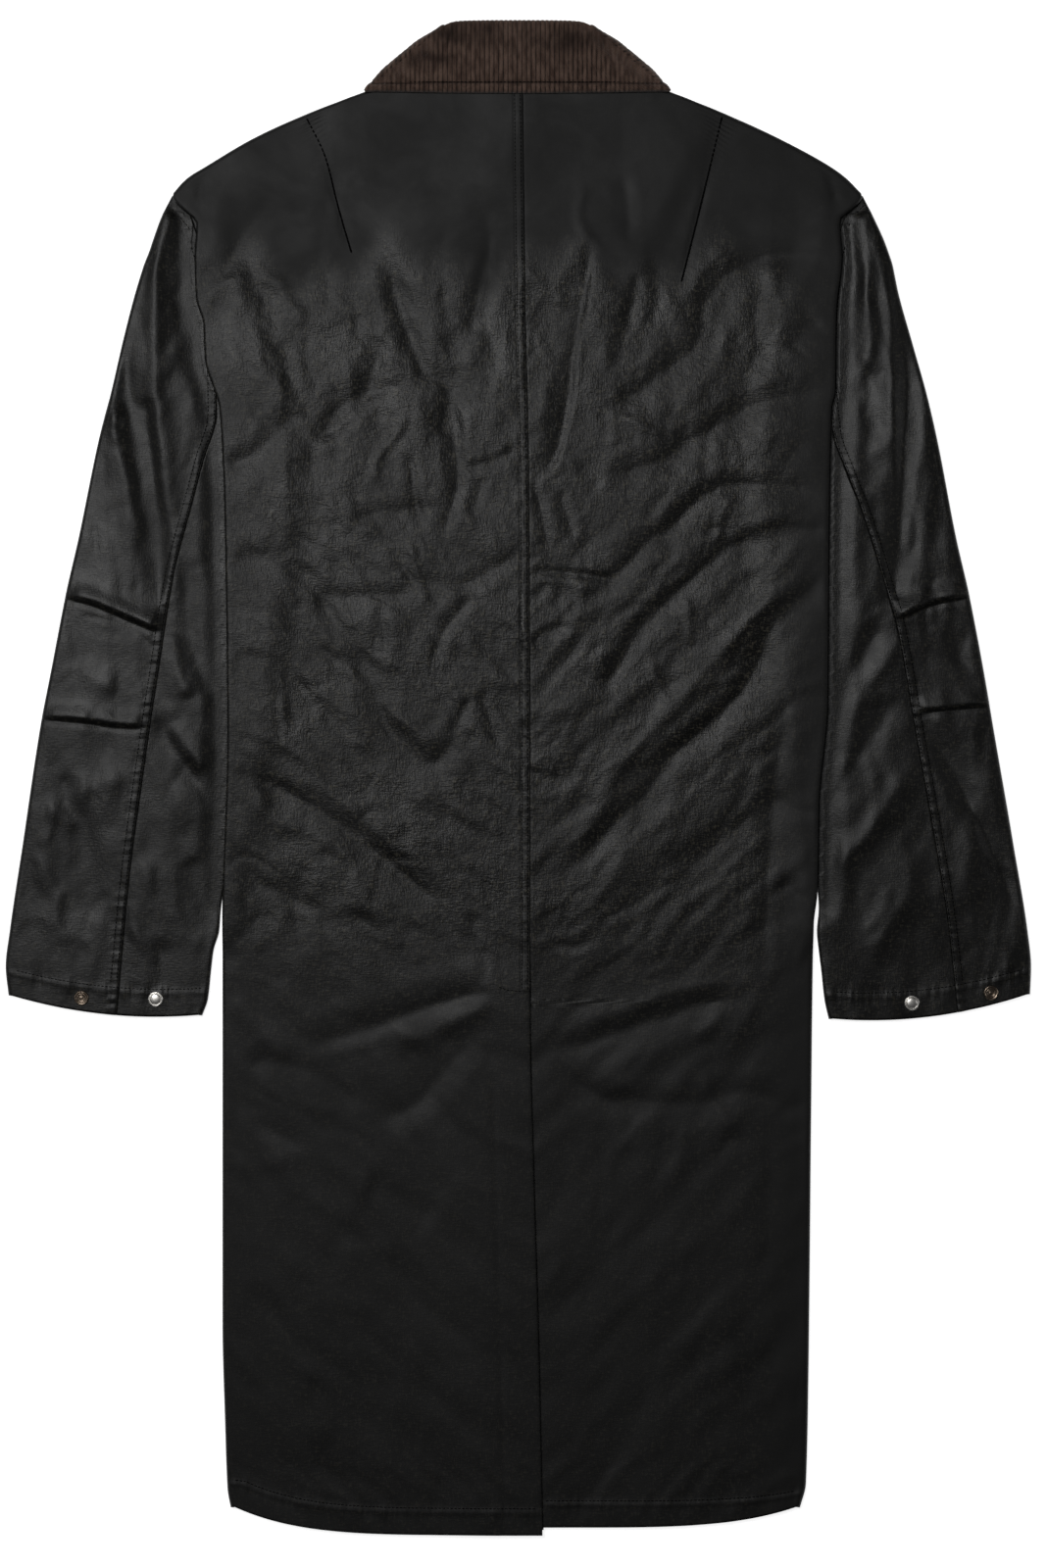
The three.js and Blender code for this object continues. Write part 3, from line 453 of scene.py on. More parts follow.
def interpolated(rows, count):
    """Rows filled in along a smooth curve through the given ones."""
    padded = with_ends(rows)
    at = np.linspace(0, len(rows) - 1, count)
    k = np.minimum(at.astype(int), len(rows) - 2)
    return between(*(padded[k + n] for n in range(4)), (at - k)[:, None])


def to_line(line, x, y):
    """Distance to a line, 1 on its left side or -1 on its right, and the share along it."""
    best = np.full(x.shape, np.inf)
    side = np.ones(x.shape)
    along = np.zeros(x.shape)
    for k in range(len(line) - 1):
        ax, ay = line[k]
        dx, dy = line[k + 1] - line[k]
        t = np.clip(((x - ax) * dx + (y - ay) * dy) / (dx * dx + dy * dy), 0, 1)
        ox, oy = x - ax - t * dx, y - ay - t * dy
        distance = np.hypot(ox, oy)
        closer = distance < best
        best = np.where(closer, distance, best)
        side = np.where(closer, np.where(dx * oy - dy * ox > 0, 1, -1), side)
        along = np.where(closer, (k + t) / (len(line) - 1), along)
    return best, side, along


def creased(creases, x, y):
    """Height that creases add: each is a fairly sharp trough or ridge between soft shoulders."""
    total = np.zeros(x.shape)
    for height, left, right, line in creases:
        reach = 3.5 * max(left, right)
        low, high = line.min(axis=0) - reach, line.max(axis=0) + reach
        near = (x > low[0]) & (x < high[0]) & (y > low[1]) & (y < high[1])
        if near.any():
            distance, side, along = to_line(line, x[near], y[near])
            t = distance / np.where(side > 0, left, right)
            fade = smooth(along / 0.18) * smooth((1 - along) / 0.18)
            sharp = np.exp(-1.3 * (np.sqrt(t * t + 0.08) - 0.283))
            shoulder = 0.16 * hump(t - 2.3, 0.8)
            total[near] += height * fade * (sharp - shoulder)
    return total


def with_lines(creases, strength, narrow=1.0):
    return [(height * strength, left * narrow, right * narrow, eased_line(points))
            for height, left, right, points in creases]


def small_creases(seed, count, inside, lean):
    """Short seeded creases, scattered where inside(x, y) holds and running along lean(x, y)."""
    rng = np.random.default_rng(seed)
    made = []
    while len(made) < count:
        x, y = rng.uniform(*SCATTER_X), rng.uniform(*SCATTER_Y)
        if not inside(x, y):
            continue
        angle = lean(x, y) + rng.normal(0, 0.5)
        length = rng.uniform(*CREASE_LENGTH)
        bend = rng.normal(0, 0.35)
        points = []
        for t in (-1, -0.33, 0.33, 1):
            turn = angle + bend * t
            points.append((x + t * length / 2 * math.cos(turn),
                           y + t * length / 2 * math.sin(turn)))
        up_or_down = rng.choice([-1, 1], p=[TROUGH_SHARE, 1 - TROUGH_SHARE])
        height = up_or_down * rng.uniform(*CREASE_HEIGHT)
        width = rng.uniform(*CREASE_WIDTH)
        made.append((height, width, width * rng.uniform(0.6, 1.6), eased_line(points, 3)))
    return made


def ripple(x, y, size, seed):
    """Smooth uneven swelling of the cloth between -1 and 1, about size across."""
    flat = np.fromiter(
        (noise.noise(Vector((a / size, b / size, seed))) for a, b in zip(x.ravel(), y.ravel())),
        float, x.size)
    return flat.reshape(x.shape)


def facets(u, v, seed):
    """Shallow bowls one unit across, with straight sharp ridges where they meet."""
    places = np.random.default_rng(seed).random((64, 64, 3))
    column, row = np.floor(u).astype(int), np.floor(v).astype(int)
    depth = np.full(u.shape, np.inf)
    for across in (-1, 0, 1):
        for up in (-1, 0, 1):
            cell = places[(row + up) % 64, (column + across) % 64]
            du = u - column - across - cell[..., 0]
            dv = v - row - up - cell[..., 1]
            depth = np.minimum(depth, du * du + dv * dv - 0.5 * cell[..., 2])
    return depth


def crumple(u, v, seed):
    """Ridges and valleys of crumpled cloth, between flatter facets one unit across."""
    return facets(u, v, seed) - facets(u + 0.37, v + 0.61, seed + 1)


def sampled(function, low, high):
    """function(x, y) worked out once on a close grid, softened and read off between points."""
    xs = np.arange(low[0], high[0] + FIELD_STEP, FIELD_STEP)
    ys = np.arange(low[1], high[1] + FIELD_STEP, FIELD_STEP)
    table = function(*np.meshgrid(xs, ys))
    padded = np.pad(table, 1, mode="edge")
    table = (padded[:-2, 1:-1] + padded[2:, 1:-1] + padded[1:-1, :-2] + padded[1:-1, 2:]
             + 2 * table) / 6

    def at(x, y):
        across = np.clip((x - xs[0]) / FIELD_STEP, 0, len(xs) - 1.001)
        up = np.clip((y - ys[0]) / FIELD_STEP, 0, len(ys) - 1.001)
        i, j = across.astype(int), up.astype(int)
        low_row = mix(table[j, i], table[j, i + 1], across - i)
        high_row = mix(table[j + 1, i], table[j + 1, i + 1], across - i)
        return mix(low_row, high_row, up - j)

    return at


def in_crinkled_back(x, y):
    return abs(x) < 236 and CRINKLE_END < y < CRINKLE_TOP + 20 * math.sin(x / 40)


def in_skirt(x, y):
    return abs(x) < 226 and -560 < y < CRINKLE_END


def on_sleeve(side, x, y):
    inner = abs(float(BODY_EDGE[side](y))) + 8
    outer = abs(float(SLEEVE_OUTER[side](y))) - 6
    here = (x < 0) == (side == "left")
    return here and inner < abs(x) < outer and CRINKLE_END < y < 440


def back_lean(x, y):
    down = -0.7 if x < 0 else -2.45
    upright = -1.57
    return mix(upright, down, float(smooth((CRINKLE_TOP - y) / 200)))


CREASES_ON_BACK = (
    with_lines(BACK_CREASES, BACK_STRENGTH, BACK_NARROWING)
    + small_creases(11, BACK_CREASE_COUNT, in_crinkled_back, back_lean)
    + small_creases(12, SKIRT_CREASE_COUNT, in_skirt, lambda x, y: -0.5 if x < 0 else -2.6)
)


def creases_on_sleeve(side, seed, lean):
    return with_lines(SLEEVE_CREASES[side], SLEEVE_STRENGTH) + small_creases(
        seed, SLEEVE_CREASE_COUNT, lambda x, y: on_sleeve(side, x, y), lambda x, y: lean)


CREASES_ON_SLEEVE = {
    "left": creases_on_sleeve("left", 21, -1.35),
    "right": creases_on_sleeve("right", 22, -1.8),
}


def by_side(curves, x, y):
    return np.abs(np.where(x < 0, curves["left"](y), curves["right"](y)))


def within(zone, y):
    top, top_ease, end, end_ease = zone
    return smooth((top + top_ease - y) / top_ease) * smooth((y - end + end_ease) / end_ease)


def over_sleeve(x, y):
    edge = by_side(BODY_EDGE, x, y)
    tuck = np.maximum(0, edge - by_side(SLEEVE_INNER, x, y))
    return within(BODY_OVER_SLEEVE, y) * (
        1 - smooth((edge - np.abs(x) - tuck - SLEEVE_MARGIN) / RAMP))


def beyond_line(x, y, line):
    (ax, ay), (bx, by) = line
    dx, dy = bx - ax, by - ay
    return ((x - ax) * dy - (y - ay) * dx) / math.hypot(dx, dy)


def over_wing(x, y):
    across = np.maximum(np.abs(x), 2 * FRONT_LAP)
    beyond = np.maximum(beyond_line(across, y, WING_OUTER), beyond_line(across, y, WING_NECK))
    return 1 - smooth((beyond - WING_MARGIN) / RAMP)


def front_level(x, y):
    return FLOOR_LAYER + np.maximum(
        FRONT_OVER_SLEEVE * over_sleeve(x, y), FRONT_OVER_WING * over_wing(x, y))


def lap_rise(x):
    return FRONT_OVER_FRONT * (1 - smooth((x - FRONT_LAP - LAP_MARGIN) / RAMP))


def ladder(y):
    """Uneven little puckers between a seam and its topstitch."""
    return np.sin(2 * np.pi * y / LADDER_PITCH + 1.4 * np.sin(y / 23)) * (
        0.6 + 0.4 * np.sin(y / 41 + 1))


def hem_y(x):
    """Height of the back's hem line at x."""
    side = np.where(x < CENTRE_BACK(-600), 0, 1)
    centre = np.where(side == 0, HEM_CENTRE["left"], HEM_CENTRE["right"])
    share = np.clip(np.abs(x - HEM_MIDDLE_X) / HEM_HALF_WIDTH, 0, 1)
    return mix(HEM_SIDE_Y, centre, 1 - share ** HEM_BEND)


def back_level(x, y, flap):
    """Middle height of the back's cloth. flap is 1 on the left back and -1 on the right back."""
    base = BACK_LEVEL + np.maximum(
        BACK_OVER_SLEEVE * over_sleeve(x, y), BACK_OVER_WING * over_wing(x, y))
    centre = CENTRE_BACK(y)
    beside = 1 - smooth((np.abs(x - centre) - FLAP_WIDTH) / FLAP_EASE)
    vent = smooth((VENT_TOP + VENT_EASE - y) / VENT_EASE) * beside
    vent = vent * (FLAP_RISE if flap > 0 else -UNDERLAP_DROP)
    below = front_level(x, y) + np.where(x > -FRONT_LAP - LAP_MARGIN, lap_rise(x), 0)
    room = np.maximum(LEAST_ROOM, base + np.minimum(0, vent) - below - CLOTH - TROUGH_CLEARANCE)
    inside = smooth((by_side(BODY_EDGE, x, y) - np.abs(x)) / EDGE_FADE)
    fold = BACK_FOLDS(x, y) * mix(0.35, 1, inside)
    level = base + vent + np.where(fold < 0, -room * np.tanh(-fold / room), fold)
    return level + back_seams(x, y, flap)


DART_LINES = [eased_line(points) for points in DARTS.values()]
SHOULDER_LINES = [eased_line(points) for points in SHOULDER_FOLDS]


def back_folds(x, y):
    """All folds of the back: large creases, crumples that run towards the vent below the
    shoulders and upright above, and only broad swells in the skirt and on the yoke."""
    beside = np.abs(x - CENTRE_BACK(y))
    swing = 14 * ripple(x, y, 70, 3.1)
    slanting = y - 0.8 * beside + swing
    upright = smooth((y - 170) / 120)

    def crumpled(low_size, high_size, seed):
        low = crumple(x / low_size[0], slanting / low_size[1], seed)
        high = crumple((x + swing) / high_size[0], y / high_size[1], seed + 2)
        return mix(low, high, upright)

    large = crumpled((62, 34), (34, 70), 31)
    small = crumpled((27, 15), (15, 30), 35)
    fine = crumple(x / 9.5, (slanting - swing) / 7.5, 39)
    worn = worn_back(x, y)
    fold = creased(CREASES_ON_BACK, x, y) * mix(0.6, 1, smooth((y + 240) / 90))
    fold += worn * (LARGE_CRUMPLE * large + SMALL_CRUMPLE * small + FINE_CRUMPLE * fine)
    fold += (1 - worn) * (mix(0.7, 0.3, smooth(y / 300)) * ripple(x, y, 90, 5.2) + 0.25 * large)
    fold += smooth((-160 - y) / 60) * (0.3 * large + 0.25 * small)
    fold *= smooth((y - hem_y(x) - 4) / 60 + 0.35)
    for line in DART_LINES + SHOULDER_LINES:
        distance, _, along = to_line(line, x, y)
        ends = smooth(15 * along) * smooth(5 - 5 * along)
        fold -= DART_DEPTH * hump(distance, DART_WIDTH) * ends
    return fold


def worn_back(x, y):
    """How crumpled the back is: fully below the shoulder blades, less in the skirt and along its
    sides, and least on the yoke."""
    top = WORN_TOP + 15 * np.sin(x / 21) + 9 * np.sin(x / 8.3 + 1.7)
    below = smooth((top - y) / WORN_EASE)
    inside = by_side(BODY_EDGE, x, y) - np.abs(x)
    beside = mix(np.where(x < 0, 0.75, 0.15), 1, smooth((inside - 5) / 50))
    skirt = mix(SKIRT_WORN, 1, smooth((y - SKIRT_TOP + SKIRT_EASE) / SKIRT_EASE))
    return below * beside * skirt + (1 - below) * YOKE_WORN


BACK_FOLDS = sampled(back_folds, (-290, -612), (290, 570))


def turned_edge(up, depth, groove_width, ridge_height):
    """Relief of a turned edge: doubled cloth, a groove at its stitched row, a ridge below it."""
    doubled = 0.3 * (1 - smooth((up - depth) / 2.5))
    ridge = ridge_height * hump(up - depth + RIDGE_BELOW_ROW, 1.8)
    return doubled - 0.2 * hump(up - depth, groove_width) + ridge


def back_seams(x, y, flap):
    """Low relief of the centre seam with its stitched band, the vent edge and the hem."""
    offset = CENTRE_BACK(y) - x
    relief = -0.2 * hump(offset, 1.3)
    above_vent = smooth((y - VENT_TOP) / 6)
    if flap > 0:
        band = 1 - smooth((offset - SEAM_BAND + 1) / 1.5)
        relief = relief + above_vent * band * (0.5 + 0.35 * ladder(y) * smooth((4 - offset) / 3))
        relief = relief - above_vent * 0.4 * hump(offset - SEAM_BAND, 0.9)
        facing = hump(offset - VENT_FACING, 2.2)
        relief = relief - 0.3 * facing * smooth((FACING_TOP - y) / 30)
    up = y - hem_y(x)
    pucker = np.sin(x / 4.6 + 1.2 * np.sin(x / 17)) * hump(up - HEM_DEPTH + RIDGE_BELOW_ROW, 7)
    return relief + turned_edge(up, HEM_DEPTH, 1.5, 0.35) + 0.16 * pucker


def sleeve_level(side, x, y):
    """Middle height of a sleeve's upper layer."""
    outside = np.abs(x) - np.abs(BODY_EDGE[side](y))
    swelling = smooth((outside - SLEEVE_EMERGES) / SLEEVE_SWELL)
    opened = mix(1, swelling, within(SLEEVE_UNDER_BODY, y))
    outer = np.abs(SLEEVE_OUTER[side](y)) - np.abs(x)
    inside = smooth(outer / EDGE_FADE)
    fold = SLEEVE_FOLDS[side](x, y) * mix(0.3, 1, inside) * opened
    floor = -(SLEEVE_LEVEL - FLOOR_LAYER - CLOTH - 1.0) * np.maximum(opened, 0.2)
    fold = np.where(fold < 0, floor * np.tanh(fold / floor), fold)
    level = mix(TUCKED_SLEEVE_LEVEL, SLEEVE_LEVEL, opened)
    return level + fold + sleeve_seams(side, x, y) * opened


TUCK_LINES = {side: [(height, eased_line(points)) for height, points in tucks]
              for side, tucks in TUCKS.items()}


def sleeve_folds(side):
    """All folds of a sleeve: long creases, tucks at the elbow and crumples that run down it."""
    seed = SLEEVE_SEED[side]

    def folds(x, y):
        swing = 9 * ripple(x, y, 60, 5.3)
        fold = creased(CREASES_ON_SLEEVE[side], x, y)
        fold += 1.3 * crumple((x + swing) / 30, y / 80, seed)
        fold += 0.5 * crumple((x + swing) / 14, y / 27, seed + 2) * smooth((y + 160) / 60)
        for height, line in TUCK_LINES[side]:
            distance, above, along = to_line(line, x, y)
            ends = smooth(6 * along) * smooth(6 - 6 * along)
            shape = hump(distance, np.where(above > 0, TUCK_SLOPE, TUCK_EDGE))
            dip = hump(distance - TUCK_DIP_OFFSET, 2.2) * (above < 0)
            fold += (height * shape - TUCK_DIP * dip) * ends
        for _, sx, sy, _ in SNAPS:
            fold *= smooth((np.hypot(x - sx, y - sy) - SNAP_RADIUS) / 9 + 0.1)
        return fold

    return folds


SLEEVE_FOLDS = {"left": sampled(sleeve_folds("left"), (-412, -196), (-180, 470)),
                "right": sampled(sleeve_folds("right"), (180, -196), (412, 470))}


def cuff_line(side, x):
    """Height of a cuff's edge at x."""
    edge = np.abs(x)
    share = np.clip((CUFF_OUTER_X - edge) / (CUFF_OUTER_X - CUFF_INNER_X), 0, 1)
    inner = float(SLEEVE_ROW_INNER[side](CUFF_Y[side]))
    bow = float(SLEEVE_ROW_BOW[side](CUFF_Y[side]))
    return mix(CUFF_Y[side], inner, share) + bow * 4 * share * (1 - share)


def sleeve_seams(side, x, y):
    """Low relief of a sleeve's back seam, stitched twice, and of its hemmed cuff."""
    sign = -1 if side == "left" else 1
    offset = sign * (x - SLEEVE_SEAM[side](y))
    band = smooth((offset + 1) / 2) * (1 - smooth((offset - SEAM_BAND) / 2))
    relief = band * (0.5 + 0.35 * ladder(y * 1.07 + 5)) - 0.25 * hump(offset, 1.3)
    relief = relief - 0.4 * hump(offset - SEAM_BAND, 1.3)
    up = y - cuff_line(side, x)
    pucker = np.sin(x / 4.2 + 1.5 * np.sin(x / 13)) * hump(up - CUFF_DEPTH + RIDGE_BELOW_ROW, 6)
    return relief + turned_edge(up, CUFF_DEPTH, 1.6, 0.3) + 0.2 * pucker


def spans(*pieces):
    """Places from piece to piece, each (from, to, step), without repeats."""
    places = []
    for start, end, step in pieces:
        count = max(1, round(abs(end - start) / step))
        places.extend(np.linspace(start, end, count, endpoint=False))
    places.append(pieces[-1][1])
    return np.array(places)


def side_roll(side, y, flap):
    """Inward direction, centre and radius of the side fold for rows at heights y."""
    sign = 1 if side == "left" else -1
    slope = (BODY_EDGE[side](y + 3) - BODY_EDGE[side](y - 3)) / 6
    inward = np.stack([np.full(y.shape, sign), -sign * slope], axis=1)
    inward /= np.linalg.norm(inward, axis=1)[:, None]
    edge = np.stack([BODY_EDGE[side](y), y], axis=1)
    probe = edge + inward * ROLL_PROBE
    top = back_level(probe[:, 0], probe[:, 1], flap)
    bottom = front_level(probe[:, 0], probe[:, 1])
    radius = (top - bottom) / 2
    centre = edge + inward * (radius + CLOTH / 2)[:, None]
    return inward, centre, (top + bottom) / 2, radius


def centre_height(y, neck, hem):
    up = (neck - NECK_SIDE_Y) * np.clip((y - NECK_EASE_Y) / (NECK_SIDE_Y - NECK_EASE_Y), 0, 1)
    down = (hem - HEM_SIDE_Y) * smooth((HEM_SIDE_Y + HEM_EASE - y) / HEM_EASE)
    return y + up + down


def arc(centre, middle_z, inward, radius, steps):
    """Points round a fold from its upper to its lower layer, as (rows, steps + 1, 3)."""
    angle = np.pi * (0.5 - np.arange(steps + 1) / steps)
    out = -radius[:, None] * np.cos(angle)
    x = centre[:, :1] + inward[:, :1] * out
    y = centre[:, 1:2] + inward[:, 1:2] * out
    z = middle_z[:, None] + radius[:, None] * np.sin(angle)
    return np.stack([x, y, z], axis=2)


def shares(width, fine_step, fine_count, count):
    """Places across rows of the given widths: close together at the start, then even."""
    fine = np.minimum(fine_step * fine_count, 0.45 * width)
    close = np.arange(fine_count) / fine_count
    rest = np.arange(count) / count
    start = fine[:, None] * close[None, :]
    end = fine[:, None] + (width - fine)[:, None] * rest[None, :]
    return np.concatenate([start, end], axis=1) / width[:, None]


def back_grid(side):
    flap = 1 if side == "left" else -1
    y = spans((550, 430, 4), (430, VENT_TOP, 2.4), (VENT_TOP, VENT_CORNER, 2.7),
              (VENT_CORNER, -300, 3.6), (-300, -535, 6), (-535, HEM_SIDE_Y, 1.6))
    inward, centre, middle_z, radius = side_roll(side, y, flap)
    centre_y = centre_height(y, NECK_BACK_Y, HEM_CENTRE[side])
    centre_x = CENTRE_BACK(centre_y) - flap * SEWN_GAP / 2
    if side == "right":
        centre_x = np.where(y <= VENT_CORNER, UNDERLAP_X, centre_x)
    u = shares(np.abs(centre[:, 0] - centre_x), 1.0, 12, 100)
    x = mix(centre_x[:, None], centre[:, :1], u)
    rise = (centre_y - y)[:, None]
    py = centre[:, 1:2] + rise * (1 - u ** HEM_BEND)
    flat = np.stack([x, py, back_level(x, py, flap)], axis=2)
    return np.concatenate([flat, arc(centre, middle_z, inward, radius, 9)], axis=1)


def front_grid(side):
    flap = 1 if side == "left" else -1
    y = spans((550, 400, 5), (400, HEM_SIDE_Y, 9))
    inward, centre, _, _ = side_roll(side, y, flap)
    start = centre + inward * FOLD_SEAM_GAP
    centre_y = centre_height(y, NECK_FRONT_Y, HEM_CENTRE[side] + FRONT_HEM_SHORTER)
    u = np.linspace(0, 1, 90)[None, :]
    x = mix(flap * FRONT_LAP, start[:, :1], u)
    py = start[:, 1:2] + (centre_y - y)[:, None] * (1 - u ** NECK_BEND)
    z = front_level(x, py) + (lap_rise(x) if side == "right" else 0)
    return np.stack([x, py, z], axis=2)


def sleeve_section(side, y):
    """Rolls, seam place and layers of a sleeve's rows, whose outer ends are at heights y."""
    inner_y = SLEEVE_ROW_INNER[side](y)
    bow = SLEEVE_ROW_BOW[side](y)
    outer = np.stack([SLEEVE_OUTER[side](y), y], axis=1)
    inner = np.stack([SLEEVE_INNER[side](inner_y), inner_y], axis=1)
    across = inner - outer
    across /= np.linalg.norm(across, axis=1)[:, None]

    def roll(edge, direction):
        probe = edge + direction * ROLL_PROBE
        radius = (sleeve_level(side, probe[:, 0], probe[:, 1]) - FLOOR_LAYER) / 2
        return edge + direction * (radius + CLOTH / 2)[:, None], radius, direction

    outer_roll, inner_roll = roll(outer, across), roll(inner, -across)
    seam_x = SLEEVE_SEAM[side](mix(y, inner_y, SLEEVE_SEAM_ROW))
    seam = (seam_x - outer_roll[0][:, 0]) / (inner_roll[0][:, 0] - outer_roll[0][:, 0])
    width = np.linalg.norm(inner_roll[0] - outer_roll[0], axis=1)

    def layer(w, upper):
        point = mix(outer_roll[0][:, None, :], inner_roll[0][:, None, :], w[:, :, None])
        px = point[:, :, 0]
        py = point[:, :, 1] + bow[:, None] * 4 * w * (1 - w)
        pz = sleeve_level(side, px, py) if upper else np.full(px.shape, FLOOR_LAYER)
        return np.stack([px, py, pz], axis=2)

    return outer_roll, inner_roll, seam, width, layer


def sleeve_grid(side, is_top):
    y = spans((463, 380, 2.4), (380, 160, 2.9), (160, 104, 1.3), (104, 68, 2.9), (68, 34, 1.3),
              (34, -140, 2.9), (-140, CUFF_Y[side], 1.5))
    outer_roll, inner_roll, seam, width, layer = sleeve_section(side, y)
    gap = SEAM_GAP / 2 / width * (-1 if is_top else 1)
    start, fold = seam + gap, 0 if is_top else 1
    end = SLEEVE_FRONT_SEAM + gap
    run = np.abs(fold - start) * width
    u = shares(run, 1.1, 10 if is_top else 4, 34 if is_top else 30)
    upper = layer(mix(start[:, None], fold, u), True)
    centre, radius, direction = outer_roll if is_top else inner_roll
    fold_points = arc(centre, FLOOR_LAYER + radius, direction, radius, 8)
    share = np.linspace(0, 1, 19 if is_top else 7)[None, 1:]
    lower = layer(mix(fold, end[:, None], share), False)
    grid = np.concatenate([upper, fold_points, lower], axis=1)
    head = HEAD_SHIFT * smooth((y - HEAD_Y) / HEAD_EASE)[:, None]
    grid[:, :, 0] += head if side == "left" else -head
    grid[:, :, 1] += head
    return grid


def worn_look(grid):
    """How crumpled the cloth looks at each point: most below the shoulders and on the sleeves,
    least on the smooth yoke and in the skirt."""
    x, y = grid[:, :, 0], grid[:, :, 1]
    sleeve = np.abs(x) > by_side(BODY_EDGE, x, y) + 3
    return np.where(sleeve, SLEEVE_WORN, worn_back(x, y))


def gathered_look(grid):
    """Where stitching gathers the cloth into small puckers: 1 beside seams that run up and down,
    -1 beside the hem and the cuffs."""
    x, y = grid[:, :, 0], grid[:, :, 1]
    offset = CENTRE_BACK(y) - x
    middle = np.where(y > VENT_TOP, hump(offset - SEAM_BAND / 2, 3.6), 0)
    beside = np.where(x < 0, SLEEVE_SEAM["left"](y) - x, x - SLEEVE_SEAM["right"](y))
    sleeve = np.abs(x) > by_side(BODY_EDGE, x, y)
    seam = hump(beside - 4, 4.5)
    hem = hump(y - hem_y(x) - HEM_DEPTH + RIDGE_BELOW_ROW, 6)
    cuff_y = np.where(x < 0, cuff_line("left", x), cuff_line("right", x))
    cuff = hump(y - cuff_y - CUFF_DEPTH + RIDGE_BELOW_ROW, 6)
    return np.where(sleeve, 0.5 * seam - 0.5 * cuff, 0.3 * middle - 0.4 * hem)


def shell(name, node, grid, thickness, material, marks=None):
    """A thin closed wall of cloth: a flat grid moved onto the given points, then thickened."""
    rows, columns = grid.shape[:2]
    bm = bmesh.new()
    bmesh.ops.create_grid(bm, x_segments=columns - 1, y_segments=rows - 1, size=1.0)
    mesh = bpy.data.meshes.new(name)
    bm.to_mesh(mesh)
    bm.free()
    flat = np.empty(len(mesh.vertices) * 3)
    mesh.vertices.foreach_get("co", flat)
    flat = flat.reshape(-1, 3)
    i = np.rint((flat[:, 0] + 1) / 2 * (columns - 1)).astype(int)
    j = np.rint((flat[:, 1] + 1) / 2 * (rows - 1)).astype(int)
    mesh.vertices.foreach_set("co", (grid[j, i] * MM).ravel())
    marks = marks or {"worn": worn_look(grid), "gathered": gathered_look(grid)}
    for mark, values in marks.items():
        layer = mesh.attributes.new(mark, "FLOAT", "POINT")
        layer.data.foreach_set("value", values[j, i])
    piece = finish_piece(name, mesh, material)
    wall = piece.modifiers.new("wall", "SOLIDIFY")
    wall.thickness = thickness * MM
    wall.offset = 0
    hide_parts(node)
    return piece


def finish_piece(name, mesh, material):
    mesh.shade_smooth()
    mesh.materials.append(material)
    mesh.update()
    piece = bpy.data.objects.new(name, mesh)
    bpy.context.scene.collection.objects.link(piece)
    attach(piece, "root")
    return piece


def linear(code):
    """An sRGB hex colour as linear RGBA."""
    parts = [int(code[k:k + 2], 16) / 255 for k in (1, 3, 5)]
    return [c / 12.92 if c <= 0.04045 else ((c + 0.055) / 1.055) ** 2.4 for c in parts] + [1.0]


def node(tree, kind, inputs=None, stops=(), **settings):
    """Adds a shader node. Each input is a value, or a node and its output to link from. Stops are
    the places and colours of a colour ramp."""
    made = tree.nodes.new(kind)
    for key, value in settings.items():
        setattr(made, key, value)
    for key, value in (inputs or {}).items():
        if isinstance(value, tuple) and isinstance(value[0], bpy.types.Node):
            tree.links.new(value[0].outputs[value[1]], made.inputs[key])
        else:
            made.inputs[key].default_value = value
    for number, (place, colour) in enumerate(stops):
        made.color_ramp.elements[number].position = place
        made.color_ramp.elements[number].color = colour
    return made


def new_material(name):
    material = bpy.data.materials.new(name)
    material.use_nodes = True
    material.node_tree.nodes.clear()
    return material, material.node_tree


def finish_material(tree, inputs):
    shader = node(tree, "ShaderNodeBsdfPrincipled", inputs)
    node(tree, "ShaderNodeOutputMaterial", {"Surface": (shader, "BSDF")})


def streaks(tree, place, sizes, detail):
    """Noise whose grains have their own size along each axis."""
    drawn_out = node(tree, "ShaderNodeMapping", {
        "Vector": (place, "Object"), "Scale": [PER_METRE / size for size in sizes]})
    return node(tree, "ShaderNodeTexNoise", {
        "Vector": (drawn_out, "Vector"), "Scale": 1.0, "Detail": detail})


# Sizes of the grains of each pattern. A pattern's scale is its number of grains in a metre
PER_METRE = 1000
WEAVE_WIDTH = 1.25
WEAVE_LENGTH = WEAVE_WIDTH * 10 / 3
WEAVE_DEPTH = 2.0
BLOTCH = 62.5
SWAY = 45.45
LARGE_FACET, SMALL_FACET = 29.41, 10.526
PUCKER_WIDTH, PUCKER_LENGTH, PUCKER_DEPTH = 7.407, 83.33, 100
PILE = 1.111
TUFT_WIDTH, TUFT_LENGTH = 3.846, 11.11
# How much duller the cloth is where its wax is fresh and unrubbed
FRESH_WAX = 0.18


